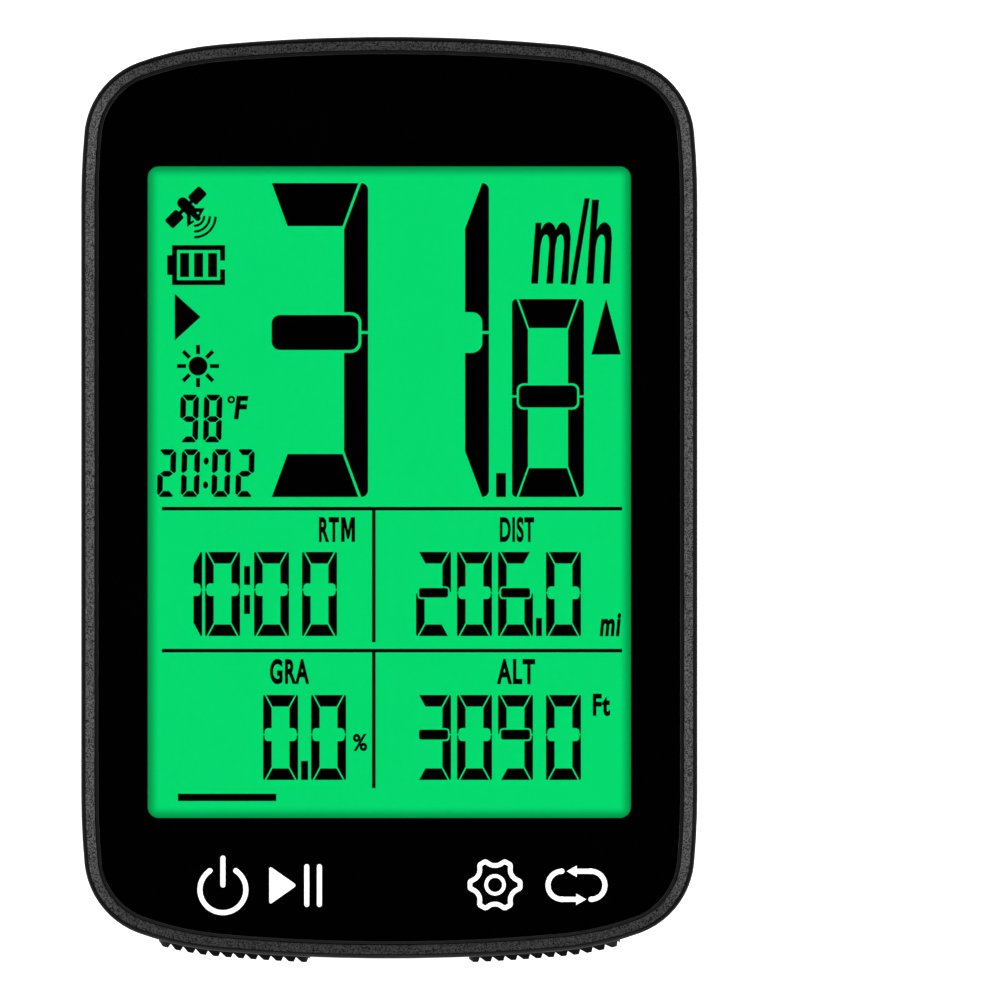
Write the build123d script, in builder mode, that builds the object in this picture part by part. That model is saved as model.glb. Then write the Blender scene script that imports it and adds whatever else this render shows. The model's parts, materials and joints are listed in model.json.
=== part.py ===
from build123d import *

import os
from math import cos, radians, sin, sqrt

# A cycling computer on its quarter-turn handlebar mount.
# X runs across the computer, Y along it towards the top of the display, Z out through the lens.
# The origin is the middle of the rubber pad's underside. Millimetres and degrees.

# ---- Case outline, seen from the front: four tangent arcs to a quarter -------------------------
CASE_WIDTH = 56.0
CASE_LENGTH = 83.76
FLANK_RADIUS = 69.48
CORNER_RADIUS = 7.52
SHOULDER_RADIUS = 29.15
FLANK_END = 5.23  # direction, from +X, in which each arc hands over to the next
CORNER_END = 70.12
SHOULDER_END = 84.93

# ---- Case section ------------------------------------------------------------------------------
CASE_DEPTH = 18.5
CASE_WALL = 1.4
BACK_WALL = 1.4
BACK_EDGE_RADIUS = 3.0
BACK_CASE_DEPTH = 4.1
PARTING_WALL = 2.2
PARTING_RIB = 1.6
PARTING_CHAMFER = 0.2
RIM_WIDTH = 1.27
RIM_EDGE_RADIUS = 0.55
RIM_DROP = 0.12
RIM_FLAT = 0.07
RIM_FALL = 0.30

# ---- Lens and its bond -------------------------------------------------------------------------
LENS_THICKNESS = 1.6
LENS_EDGE_RADIUS = 0.3
LENS_GAP = 0.06
LENS_FILM = 0.02
BOND_THICKNESS = 0.18
BOND_INSET = 0.35
LEDGE_THICKNESS = 1.2

# ---- Display -----------------------------------------------------------------------------------
SIDE_BORDER = 6.05  # case edge to the visible window
TOP_BORDER = 11.78
BOTTOM_BORDER = 12.78
WINDOW_RADIUS = 1.0
PANEL_SIDE = 1.8  # glass beyond the window
PANEL_TOP = 1.3
PANEL_BOTTOM = 3.5
PANEL_THICKNESS = 1.6
PANEL_CLEARANCE = 0.15
DIFFUSER_THICKNESS = 0.3
GUIDE_THICKNESS = 1.0
REFLECTOR_THICKNESS = 0.2
SHEET_CLEARANCE = 0.15
LED_SIZE = (2.8, 0.8, 0.9)
LED_COUNT = 4
LED_GAP = 0.05
STRIP_THICKNESS = 0.3
FRAME_WALL = 0.75
FRAME_FLOOR = 0.8
FRAME_LEG = 2.3
FRAME_LEG_RADIUS = 1.7
FRAME_LEG_INSET = 3.0
FLEX_HALF_WIDTH = 7.0
FLEX_THICKNESS = 0.15
FLEX_BEND = 0.9
FLEX_OVERHANG = 2.0

# ---- Circuit board -----------------------------------------------------------------------------
BOARD_THICKNESS = 1.0
BOARD_GAP = 0.4
BOARD_END_ROOM = 5.8
BOARD_TONGUE_HALF = 5.2
CLAMP_POST_RADIUS = 1.5
CLAMP_POST_INSET = 2.3
CLAMP_POST_Y = 16.0

# ---- Sound, air pressure and aerial ------------------------------------------------------------
BUZZER_RADIUS = 4.5
BUZZER_HEIGHT = 1.9
BUZZER_X = 13.0
SENSOR_SIZE = (3.0, 3.0, 1.0)
SENSOR_X = -15.0
END_PARTS_ROOM = 6.0  # battery's end to the middle of the parts beyond it
VENT_CIRCLE = 1.2
VENT_HOLE_RADIUS = 0.4
MEMBRANE = (2.8, 0.25)  # radius, thickness
AERIAL_SIZE = (15.0, 5.6, 4.0)
AERIAL_ROOM = 1.3  # board's end to the aerial
CAN_SIZE = (24.0, 20.0, 1.7)
CAN_SHEET = 0.2
CAN_POINT = (-7.0, 10.0)
SOCKET_SIZE = (5.0, 3.4, 2.9)
SOCKET_ROOM = 1.8  # battery's end to the socket

# ---- Battery -----------------------------------------------------------------------------------
BATTERY_SIDE_ROOM = 11.0
BATTERY_END_ROOM = 16.9
BATTERY_HEADROOM = 1.7
BATTERY_EDGE = 1.2
TAPE_THICKNESS = 0.2
LEAD_RADIUS = 0.4
LEAD_SPACING = 2.0

# ---- Buttons on the lower end ------------------------------------------------------------------
BUTTON_START = 7.24
BUTTON_END_ROOM = 7.0
BUTTON_HEIGHT = 6.0
BUTTON_DROP = 8.3  # lens face down to the middle of the button
BUTTON_CORNER = 1.5
BUTTON_PROUD = 0.55
BUTTON_CLEARANCE = 0.15
BUTTON_TRAVEL = 0.4
RIB_COUNT = 12
RIB_DEPTH = 0.42
FLANGE_LIP = 0.8
FLANGE_THICKNESS = 0.8
GASKET_THICKNESS = 0.55
GASKET_GAP = 0.05
GASKET_LIP = 0.6
GASKET_FIT = 0.02
STEM_WIDTH = 2.6
STEM_HEIGHT = 1.6
SWITCH_SIZE = (4.6, 2.2, 2.1)
SWITCH_RISE = 1.1  # board face up to the plunger's axis
PLUNGER_RADIUS = 0.75
PLUNGER_CLEARANCE = 0.05
PLUNGER_PROUD = 0.9
PLUNGER_ENGAGED = 1.0
STEM_LENGTH = 0.7

# ---- Charging port and its cover ---------------------------------------------------------------
PORT_WIDTH = 7.4
PORT_HEIGHT = 2.45
PORT_DEPTH = 5.5
PORT_SHELL = 0.25
PORT_SETBACK = 1.6
PORT_CHAMFER = 0.8
MOUTH_CLEARANCE = 0.15
MOUTH_BLOCK = 2.6
COVER_HALF_WIDTH = 5.6
COVER_THICKNESS = 1.1
COVER_RISE = 2.9  # port axis up to the cover's free edge
COVER_CLEARANCE = 0.15
HINGE_RADIUS = 0.75
HINGE_DROP = 2.5
HINGE_CLEARANCE = 0.06
PLUG_SIZE = (6.4, 0.8, 1.2)
PIN_RADIUS = 0.35
PIN_CLEARANCE = 0.05
PIN_OVERLAP = 0.95

# ---- Fasteners: head radius, head height, shank radius, shank length --------------------------
CASE_SCREW = (1.8, 1.2, 1.0, 7.3)
BOSS_SCREW = (1.5, 1.2, 0.8, 4.2)
BOARD_SCREW = (1.35, 0.8, 0.7, 2.7)
HOLE_CLEARANCE = 0.1
THREAD_CLEARANCE = 0.03
HEAD_CLEARANCE = 0.2
CASE_COUNTERBORE = 1.9
CASE_SCREW_OFFSET = 3.4
SCREW_BOSS_RADIUS = 2.4
SCREW_BOSS_LENGTH = 8.1
CASE_SEAL = (0.85, 0.7, 0.55)  # inset, groove width, seal height
SEAL_CLEARANCE = 0.05

# ---- Quarter-turn boss on the back of the case -------------------------------------------------
BOSS_RADIUS = 12.9
WING_RADIUS = 15.4
WING_WIDTH = 11.5
WING_THICKNESS = 1.9
WING_RISE = 0.2
BOSS_SCREW_CIRCLE = 8.5
BOSS_COUNTERBORE = 2.0
BOSS_DISH = (4.5, 1.5)
BACKING_RADIUS = 13.5
BACKING_THICKNESS = 1.2

# ---- Handlebar mount ---------------------------------------------------------------------------
MOUNT_RADIUS = 17.25
MOUNT_FLOOR = 1.3
SOCKET_CLEARANCE = 0.4
CHANNEL_CLEARANCE = 0.4
SLOT_CLEARANCE = 0.45
WING_CLEARANCE = 0.1
LIP_THICKNESS = 1.8
BOSS_FLOOR_GAP = 0.7
CASE_LIFT = 0.3
MOUNT_HOLE_RADIUS = 2.15
FLEX_SLOT_WIDTH = 1.2
FLEX_SLOT_SWEEP = 62.0
TAB_SLIT_END = 13.9
ARM_SLOT_Y = 6.0
ARM_SLOT_WIDTH = 1.8
ARM_SLOT_START = 2.7
DETENT = (5.4, 10.9, 1.2, 2.4, 0.4)  # start, end, narrow width, wide width, height
LUG_RADIUS = 21.5
LUG_WIDTH = 9.6
LUG_CORNER = 1.2
LUG_FLOOR = 1.6
LUG_HEIGHT = 5.7
LUG_LIP = 1.05
LUG_HOOK = 0.4

# ---- Rubber pad and bands ----------------------------------------------------------------------
PAD_THICKNESS = 3.0
PAD_RADIUS = 17.6
PAD_LOBE_RADIUS = 22.0
PAD_LOBE_WIDTHS = (9.0, 10.4)
PAD_LOBE_CORNER = 1.0
BAR_RADIUS = 15.9
TROUGH_HALF_WIDTH = 6.1
PAD_HOLE_RADIUS = 4.15
PEG_RADIUS = 2.25
PEG_LENGTH = 1.4
PEG_CLEARANCE = 0.1
PEG_SPACING = 20.7
PEG_COUNTERBORE = 3.83
PAD_ARC = (12.4, 0.6, 0.3, 60.0)  # radius, width, depth, half sweep
BAND_RADIUS = 0.875
BAND_OUTER_RADIUS = 20.35
BAND_GAP = 0.02

# ---- Heights, from the pad's underside up ------------------------------------------------------
pad_top = PAD_THICKNESS
socket_floor = pad_top + MOUNT_FLOOR
boss_bottom = socket_floor + BOSS_FLOOR_GAP
wing_bottom = boss_bottom + WING_RISE
wing_top = wing_bottom + WING_THICKNESS
lip_bottom = wing_top + WING_CLEARANCE
lip_top = lip_bottom + LIP_THICKNESS
case_back = lip_top + CASE_LIFT
case_front = case_back + CASE_DEPTH
parting = case_back + BACK_CASE_DEPTH
inner_floor = case_back + BACK_WALL
backing_top = inner_floor + BACKING_THICKNESS
rim_top = case_front - RIM_DROP
lens_bottom = case_front - LENS_THICKNESS
bond_top = lens_bottom - LENS_FILM
seat = bond_top - BOND_THICKNESS
ledge_bottom = seat - LEDGE_THICKNESS
panel_bottom = seat - PANEL_THICKNESS
guide_top = panel_bottom - DIFFUSER_THICKNESS
guide_bottom = guide_top - GUIDE_THICKNESS
frame_floor_top = guide_bottom - REFLECTOR_THICKNESS
frame_bottom = frame_floor_top - FRAME_FLOOR
board_top = frame_bottom - FRAME_LEG
board_bottom = board_top - BOARD_THICKNESS
battery_bottom = backing_top + TAPE_THICKNESS
battery_top = board_bottom - BATTERY_HEADROOM
port_z = board_bottom - PORT_HEIGHT / 2
button_z = case_front - BUTTON_DROP

# ---- Plan positions ----------------------------------------------------------------------------
half_width = CASE_WIDTH / 2
half_length = CASE_LENGTH / 2
window_x = half_width - SIDE_BORDER
window_top = half_length - TOP_BORDER
window_bottom = BOTTOM_BORDER - half_length
panel_x = window_x + PANEL_SIDE
panel_top_y = window_top + PANEL_TOP
panel_bottom_y = window_bottom - PANEL_BOTTOM
sheet_x = panel_x - SHEET_CLEARANCE
frame_inner_x = panel_x + PANEL_CLEARANCE
frame_x = frame_inner_x + FRAME_WALL
frame_top_y = panel_top_y + PANEL_CLEARANCE + FRAME_WALL
frame_bottom_y = panel_bottom_y - PANEL_CLEARANCE - FRAME_WALL
battery_x = half_width - BATTERY_SIDE_ROOM
battery_y = half_length - BATTERY_END_ROOM
board_end = -half_length + BOARD_END_ROOM
tongue_end = -half_length + MOUTH_BLOCK + SHEET_CLEARANCE
strip_y = panel_top_y - SHEET_CLEARANCE - STRIP_THICKNESS
led_y = strip_y - LED_SIZE[1]
socket_radius = BOSS_RADIUS + SOCKET_CLEARANCE
channel_radius = WING_RADIUS + CHANNEL_CLEARANCE


end_parts_y = battery_y + END_PARTS_ROOM
vent_point = (SENSOR_X, end_parts_y)


def unit(angle):
    """Unit vector in the XY plane."""
    return Vector(cos(radians(angle)), sin(radians(angle)))


def crown_radius():
    """Radius of each end's shallow arc, which brings the quarter outline onto the centre line."""
    reach = half_width - FLANK_RADIUS
    reach -= (CORNER_RADIUS - FLANK_RADIUS) * cos(radians(FLANK_END))
    reach -= (SHOULDER_RADIUS - CORNER_RADIUS) * cos(radians(CORNER_END))
    return SHOULDER_RADIUS + reach / cos(radians(SHOULDER_END))


ARC_RADII = (FLANK_RADIUS, CORNER_RADIUS, SHOULDER_RADIUS, crown_radius())
ARC_ENDS = (0.0, FLANK_END, CORNER_END, SHOULDER_END, 90.0)


def arc_centres():
    """Centres of the quarter outline's arcs, flank first."""
    centres = [Vector(0, half_length - ARC_RADII[3])]
    for arc in (3, 2, 1):
        step = unit(ARC_ENDS[arc]) * (ARC_RADII[arc] - ARC_RADII[arc - 1])
        centres.insert(0, centres[0] + step)
    return centres


ARC_CENTRES = arc_centres()
screw_point = ARC_CENTRES[1] + unit(45) * CASE_SCREW_OFFSET
screw_points = [(sx * screw_point.X, sy * screw_point.Y) for sx in (-1, 1) for sy in (-1, 1)]
leg_x = frame_x - FRAME_LEG_INSET
leg_y = (frame_top_y - frame_bottom_y) / 2 - FRAME_LEG_INSET - 2
leg_points = [(sx * leg_x, sy * leg_y) for sx in (-1, 1) for sy in (-1, 1)]
boss_screw_x = BOSS_SCREW_CIRCLE * cos(radians(45))
boss_screw_points = [(sx * boss_screw_x, sy * boss_screw_x) for sx in (-1, 1) for sy in (-1, 1)]


def outline_height(x, inset=0.0):
    """Height of the outline above the X axis at x, with the outline drawn in by inset."""
    x = abs(x)
    for arc in (3, 2, 1, 0):
        radius = ARC_RADII[arc] - inset
        start = ARC_CENTRES[arc] + unit(ARC_ENDS[arc]) * radius
        if x <= start.X:
            return ARC_CENTRES[arc].Y + sqrt(radius**2 - (x - ARC_CENTRES[arc].X) ** 2)
    return ARC_CENTRES[0].Y


def outline_slope(x, inset=0.0):
    """Turn, in degrees, of the outline's outward normal away from straight along Y at x."""
    for arc in (3, 2, 1):
        radius = ARC_RADII[arc] - inset
        if abs(x) <= (ARC_CENTRES[arc] + unit(ARC_ENDS[arc]) * radius).X:
            height = outline_height(x, inset) - ARC_CENTRES[arc].Y
            return Vector(abs(x) - ARC_CENTRES[arc].X, height).get_angle(Vector(0, 1, 0))
    return 90.0


def case_outline(inset=0.0):
    """Face bounded by the case outline, drawn in by inset. Used inside a BuildSketch."""
    with BuildLine() as outline:
        side = half_width - inset
        Line((side, -ARC_CENTRES[0].Y), (side, ARC_CENTRES[0].Y))
        for arc in range(4):
            sweep = ARC_ENDS[arc + 1] - ARC_ENDS[arc]
            centre = ARC_CENTRES[arc]
            CenterArc(centre, ARC_RADII[arc] - inset, ARC_ENDS[arc], sweep)
            below = (centre.X, -centre.Y)
            CenterArc(below, ARC_RADII[arc] - inset, -ARC_ENDS[arc], -sweep)
        mirror(about=Plane.YZ)
    make_face(outline.edges())


def case_slab(inset, bottom, top, mode=Mode.ADD):
    """Slab of the case outline, drawn in by inset, between two heights."""
    with BuildSketch(Plane.XY.offset(bottom)) as face:
        case_outline(inset)
    extrude(face.sketch, amount=top - bottom, mode=mode)


def block(x_span, y_span, z_span, mode=Mode.ADD, corner=0.0):
    """Rectangular block between the given spans, its upright edges rounded by corner."""
    width = x_span[1] - x_span[0]
    length = y_span[1] - y_span[0]
    middle = ((x_span[0] + x_span[1]) / 2, (y_span[0] + y_span[1]) / 2)
    with BuildSketch(Plane.XY.offset(z_span[0])) as face:
        with Locations(middle):
            if corner:
                RectangleRounded(width, length, corner)
            else:
                Rectangle(width, length)
    extrude(face.sketch, amount=z_span[1] - z_span[0], mode=mode)


def rod(points, radius, bottom, top, mode=Mode.ADD):
    """Upright cylinders of one radius at the given points."""
    with Locations(*[(x, y, bottom) for x, y in points]):
        Cylinder(radius, top - bottom, align=(Align.CENTER, Align.CENTER, Align.MIN), mode=mode)


def end_prism(x_span, z_span, corner, near, far, mode=Mode.ADD):
    """Prism running towards the lower end, from near to far, with a rounded rectangular section."""
    middle = ((x_span[0] + x_span[1]) / 2, (z_span[0] + z_span[1]) / 2)
    with BuildSketch(Plane.XZ.offset(near)) as face:
        with Locations(middle):
            RectangleRounded(x_span[1] - x_span[0], z_span[1] - z_span[0], corner)
    extrude(face.sketch, amount=far - near, mode=mode)


def beyond(vertex, radius):
    """True for a corner that lies on or outside the circle of that radius about the origin."""
    return Vector(vertex.X, vertex.Y).length > radius - 0.1


def keep(builder, name):
    """Label a finished piece and write it."""
    builder.part.label = name
    export_step(builder.part, f"parts/{name}.step")


# ---- Case --------------------------------------------------------------------------------------
def button_span(side):
    """X span of the button on one side, in rising order."""
    ends = (side * BUTTON_START, side * (half_width - BUTTON_END_ROOM))
    return min(ends), max(ends)


def grow(span, amount):
    """Span widened by amount at both ends."""
    return span[0] - amount, span[1] + amount


button_z_span = (button_z - BUTTON_HEIGHT / 2, button_z + BUTTON_HEIGHT / 2)
hinge_y = -half_length + HINGE_RADIUS
hinge_z = port_z - HINGE_DROP
cover_top = port_z + COVER_RISE


def x_cylinder(half_span, radius, mode=Mode.ADD):
    """Cylinder along X on the port cover's hinge axis."""
    with Locations((0, hinge_y, hinge_z)):
        Cylinder(radius, 2 * half_span, rotation=(0, 90, 0), mode=mode)


def make_front_case():
    with BuildPart() as front_case:
        case_slab(0, parting, rim_top)
        rim_face = front_case.faces().sort_by(Axis.Z)[-1]
        chamfer(rim_face.edges(), RIM_WIDTH - RIM_FLAT, RIM_FALL, reference=rim_face)
        fillet(front_case.edges().group_by(Axis.Z)[-3], RIM_EDGE_RADIUS)
        chamfer(front_case.edges().group_by(Axis.Z)[0], PARTING_CHAMFER)
        case_slab(RIM_WIDTH - LENS_GAP, seat, rim_top, Mode.SUBTRACT)
        case_slab(PARTING_WALL, parting, parting + PARTING_RIB, Mode.SUBTRACT)
        case_slab(CASE_WALL, parting + PARTING_RIB, ledge_bottom, Mode.SUBTRACT)
        opening_x = frame_inner_x + SHEET_CLEARANCE
        opening_y = (panel_bottom_y - PANEL_CLEARANCE, panel_top_y + PANEL_CLEARANCE)
        block((-opening_x, opening_x), opening_y, (ledge_bottom, seat), Mode.SUBTRACT, 0.5)

        with BuildPart(mode=Mode.PRIVATE) as screw_bosses:
            rod(screw_points, SCREW_BOSS_RADIUS, parting, parting + SCREW_BOSS_LENGTH)
            case_slab(CASE_WALL / 2, parting, case_front, Mode.INTERSECT)
        add(screw_bosses.part)
        pilot = CASE_SCREW[2] + THREAD_CLEARANCE
        rod(screw_points, pilot, parting, parting + SCREW_BOSS_LENGTH - 1, Mode.SUBTRACT)

        groove_inset, groove_width, seal_height = CASE_SEAL
        with BuildSketch(Plane.XY.offset(parting)) as seal_groove:
            case_outline(groove_inset)
            with BuildSketch(mode=Mode.PRIVATE) as groove_core:
                case_outline(groove_inset + groove_width)
            add(groove_core.sketch, mode=Mode.SUBTRACT)
        extrude(seal_groove.sketch, amount=seal_height + SEAL_CLEARANCE, mode=Mode.SUBTRACT)

        mouth_x = COVER_HALF_WIDTH + COVER_CLEARANCE
        wall_inside = half_length - CASE_WALL / 2
        block_z = (parting + PARTING_RIB, cover_top + CASE_WALL)
        block_y = (-wall_inside, -half_length + MOUTH_BLOCK)
        block(grow((-mouth_x, mouth_x), CASE_WALL / 2), block_y, block_z)
        recess = half_length - COVER_THICKNESS - COVER_CLEARANCE
        recess_z = (hinge_z, cover_top + COVER_CLEARANCE)
        outside = (-half_length - 1, -recess)
        block((-mouth_x, mouth_x), outside, recess_z, Mode.SUBTRACT)
        groove_radius = HINGE_RADIUS + HINGE_CLEARANCE
        x_cylinder(mouth_x, groove_radius, Mode.SUBTRACT)
        swing_room = (-half_length - 1, hinge_y)
        block((-mouth_x, mouth_x), swing_room, (hinge_z - groove_radius, hinge_z), Mode.SUBTRACT)
        x_cylinder(mouth_x + PIN_OVERLAP, PIN_RADIUS + THREAD_CLEARANCE, Mode.SUBTRACT)
        mouth = grow((-PORT_WIDTH / 2, PORT_WIDTH / 2), MOUTH_CLEARANCE)
        mouth_z = grow((port_z - PORT_HEIGHT / 2, port_z + PORT_HEIGHT / 2), MOUTH_CLEARANCE)
        end_prism(mouth, mouth_z, 0.5, half_length - MOUTH_BLOCK - 1, half_length, Mode.SUBTRACT)

        for side in (-1, 1):
            x_span = grow(button_span(side), BUTTON_CLEARANCE)
            z_span = grow(button_z_span, BUTTON_CLEARANCE)
            corner = BUTTON_CORNER + BUTTON_CLEARANCE
            near = outline_height(x_span[0 if side < 0 else 1], CASE_WALL) - 1
            end_prism(x_span, z_span, corner, near, half_length + 1, Mode.SUBTRACT)
    keep(front_case, "front_case")


def make_back_case():
    with BuildPart() as back_case:
        case_slab(0, case_back, parting)
        fillet(back_case.edges().group_by(Axis.Z)[0], BACK_EDGE_RADIUS)
        chamfer(back_case.edges().group_by(Axis.Z)[-1], PARTING_CHAMFER)
        case_slab(PARTING_WALL, inner_floor, parting, Mode.SUBTRACT)
        with BuildPart(mode=Mode.PRIVATE) as posts:
            rod(screw_points, SCREW_BOSS_RADIUS, inner_floor, parting)
            case_slab(CASE_WALL, inner_floor, parting, Mode.INTERSECT)
        add(posts.part)
        rod([(0, 0)], BACKING_RADIUS, inner_floor, backing_top)
        clamp_x = half_width - CASE_WALL - BOARD_GAP - CLAMP_POST_INSET
        clamp_points = [(sx * clamp_x, sy * CLAMP_POST_Y) for sx in (-1, 1) for sy in (-1, 1)]
        rod(clamp_points, CLAMP_POST_RADIUS, inner_floor, board_bottom)

        head, head_height, shank, _ = CASE_SCREW
        counterbore = case_back + CASE_COUNTERBORE
        rod(screw_points, head + HEAD_CLEARANCE, case_back, counterbore, Mode.SUBTRACT)
        rod(screw_points, shank + HOLE_CLEARANCE, counterbore, parting, Mode.SUBTRACT)
        pilot_top = boss_bottom + BOSS_COUNTERBORE + BOSS_SCREW[3] + HOLE_CLEARANCE
        pilot = BOSS_SCREW[2] + THREAD_CLEARANCE
        rod(boss_screw_points, pilot, case_back, pilot_top, Mode.SUBTRACT)
        with Locations((vent_point[0], vent_point[1], case_back)):
            with PolarLocations(VENT_CIRCLE, 3):
                Cylinder(
                    VENT_HOLE_RADIUS,
                    BACK_WALL,
                    align=(Align.CENTER, Align.CENTER, Align.MIN),
                    mode=Mode.SUBTRACT,
                )
    keep(back_case, "back_case")


def make_case_seal():
    inset, width, height = CASE_SEAL
    with BuildPart() as case_seal:
        case_slab(inset + SEAL_CLEARANCE, parting, parting + height)
        case_slab(inset + width - SEAL_CLEARANCE, parting, parting + height, Mode.SUBTRACT)
    keep(case_seal, "case_seal")


def make_screws(name, points, underside, size):
    """Pan-headed screws with a hexagonal drive, heads downwards and shanks upwards."""
    head, head_height, shank, length = size
    with BuildPart() as screws:
        rod(points, head, underside, underside + head_height)
        rod(points, shank, underside + head_height, underside + head_height + length)
        with BuildSketch(Plane.XY.offset(underside)) as drives:
            with Locations(*points):
                RegularPolygon(head * 0.5, 6)
        extrude(drives.sketch, amount=head_height * 0.6, mode=Mode.SUBTRACT)
    keep(screws, name)


# ---- Lens and display --------------------------------------------------------------------------
def make_front_lens():
    with BuildPart() as front_lens:
        case_slab(RIM_WIDTH, lens_bottom, case_front)
        fillet(front_lens.edges().group_by(Axis.Z)[-1], LENS_EDGE_RADIUS)
    keep(front_lens, "front_lens")


def make_lens_bond():
    with BuildPart() as lens_bond:
        case_slab(RIM_WIDTH + BOND_INSET, seat, bond_top)
        window = (-window_x, window_x)
        window_y = (window_bottom, window_top)
        block(window, window_y, (seat, bond_top), Mode.SUBTRACT, WINDOW_RADIUS)
    keep(lens_bond, "lens_bond")


def make_display_sheet(name, half, bottom, top, end):
    """One rectangular sheet of the display stack, from the panel's lower end to the given end."""
    with BuildPart() as sheet:
        block((-half, half), (panel_bottom_y, end), (bottom, top))
    keep(sheet, name)


def make_leds():
    step = 2 * window_x / LED_COUNT
    low = guide_bottom + LED_GAP
    with BuildPart() as backlight_leds:
        for led in range(LED_COUNT):
            x = (led - (LED_COUNT - 1) / 2) * step
            led_x = grow((x, x), LED_SIZE[0] / 2)
            block(led_x, (led_y, strip_y), (low, low + LED_SIZE[2]))
    keep(backlight_leds, "backlight_leds")
    with BuildPart() as led_strip:
        top = guide_top + LED_GAP
        block((-window_x, window_x), (strip_y, strip_y + STRIP_THICKNESS), (guide_bottom, top))
    keep(led_strip, "led_strip")


def make_lcd_frame():
    with BuildPart() as lcd_frame:
        outer_y = (frame_bottom_y, frame_top_y)
        block((-frame_x, frame_x), outer_y, (frame_bottom, ledge_bottom), corner=1.2)
        inner_y = grow(outer_y, -FRAME_WALL)
        inner_x = (-frame_inner_x, frame_inner_x)
        block(inner_x, inner_y, (frame_floor_top, ledge_bottom), Mode.SUBTRACT, 0.4)
        slot = FLEX_HALF_WIDTH + 2 * SHEET_CLEARANCE
        slot_z = (panel_bottom - SHEET_CLEARANCE, ledge_bottom)
        block((-slot, slot), (frame_bottom_y, inner_y[0]), slot_z, Mode.SUBTRACT)
        rod(leg_points, FRAME_LEG_RADIUS, board_top, frame_bottom)
        pilot = BOARD_SCREW[2] + THREAD_CLEARANCE
        rod(leg_points, pilot, board_top, frame_bottom - HOLE_CLEARANCE, Mode.SUBTRACT)
    keep(lcd_frame, "lcd_frame")


flex_top = panel_bottom + 2 * FLEX_THICKNESS
flex_turn_y = panel_bottom_y - FLEX_OVERHANG
flex_low = board_top + 0.6
CONNECTOR_SIZE = (16.0, 3.6, 1.1)
connector_y = flex_turn_y + 2.6


def make_lcd_flex():
    with BuildPart() as lcd_flex:
        with BuildSketch(Plane.YZ) as section:
            with BuildLine() as flat_route:
                FilletPolyline(
                    (panel_bottom_y, flex_top),
                    (flex_turn_y, flex_top),
                    (flex_turn_y, flex_low),
                    (connector_y, flex_low),
                    radius=FLEX_BEND,
                )
            trace(flat_route.edges(), FLEX_THICKNESS)
        extrude(section.sketch, amount=FLEX_HALF_WIDTH, both=True)
    keep(lcd_flex, "lcd_flex")


# ---- Circuit board and what it carries ---------------------------------------------------------
def make_main_board():
    with BuildPart() as main_board:
        case_slab(CASE_WALL + BOARD_GAP, board_bottom, board_top)
        for side in (-1, 1):
            beside = sorted((side * BOARD_TONGUE_HALF, side * half_width))
            block(beside, (-half_length, board_end), (board_bottom, board_top), Mode.SUBTRACT)
        beyond = (-half_length, tongue_end)
        tongue = (-BOARD_TONGUE_HALF, BOARD_TONGUE_HALF)
        block(tongue, beyond, (board_bottom, board_top), Mode.SUBTRACT)
        notch = SCREW_BOSS_RADIUS + BOARD_GAP
        rod(screw_points, notch, board_bottom, board_top, Mode.SUBTRACT)
        hole = BOARD_SCREW[2] + HOLE_CLEARANCE
        rod(leg_points, hole, board_bottom, board_top, Mode.SUBTRACT)
    keep(main_board, "main_board")


def make_shield_can():
    width, length, height = CAN_SIZE
    x_span = (CAN_POINT[0] - width / 2, CAN_POINT[0] + width / 2)
    y_span = (CAN_POINT[1] - length / 2, CAN_POINT[1] + length / 2)
    with BuildPart() as shield_can:
        block(x_span, y_span, (board_top, board_top + height), corner=0.6)
        inside = (board_top, board_top + height - CAN_SHEET)
        inner_x = grow(x_span, -CAN_SHEET)
        block(inner_x, grow(y_span, -CAN_SHEET), inside, Mode.SUBTRACT, 0.4)
    keep(shield_can, "shield_can")


def chip(centre, size, base):
    """Rectangular chip standing on the plane at height base."""
    x_span = (centre[0] - size[0] / 2, centre[0] + size[0] / 2)
    y_span = (centre[1] - size[1] / 2, centre[1] + size[1] / 2)
    block(x_span, y_span, (base, base + size[2]))


def make_board_parts():
    with BuildPart() as processor:
        chip(CAN_POINT, (8, 8, 0.9), board_top)
    keep(processor, "processor")
    with BuildPart() as board_chips:
        chip((12.5, 14), (6, 5, 0.9), board_top)
        chip((12.5, 6), (4, 4, 0.8), board_top)
        chip((12.5, -4), (3, 3, 1.2), board_top)
        chip((-10, -8), (5, 4, 0.9), board_top)
        chip((-2, -8), (3.2, 1.5, 0.8), board_top)
        with Locations((4, -16, board_top)):
            with GridLocations(2.2, 2.4, 5, 3):
                Box(1.0, 0.5, 0.5, align=(Align.CENTER, Align.CENTER, Align.MIN))
    keep(board_chips, "board_chips")
    with BuildPart() as flex_connector:
        width, length, height = CONNECTOR_SIZE
        low = connector_y - 1.4
        block((-width / 2, width / 2), (low, low + length), (board_top, board_top + height))
        slot_z = grow((flex_low, flex_low), FLEX_THICKNESS / 2 + 0.02)
        slot_x = grow((-FLEX_HALF_WIDTH, FLEX_HALF_WIDTH), 0.1)
        block(slot_x, (low, connector_y + 0.1), slot_z, Mode.SUBTRACT)
    keep(flex_connector, "flex_connector")


def make_aerial():
    with BuildPart() as aerial:
        y = half_length - CASE_WALL - BOARD_GAP - AERIAL_ROOM - AERIAL_SIZE[1] / 2
        chip((0, y), AERIAL_SIZE, board_top)
        chamfer(aerial.edges().group_by(Axis.Z)[-1], 0.3)
    keep(aerial, "satellite_aerial")


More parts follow.
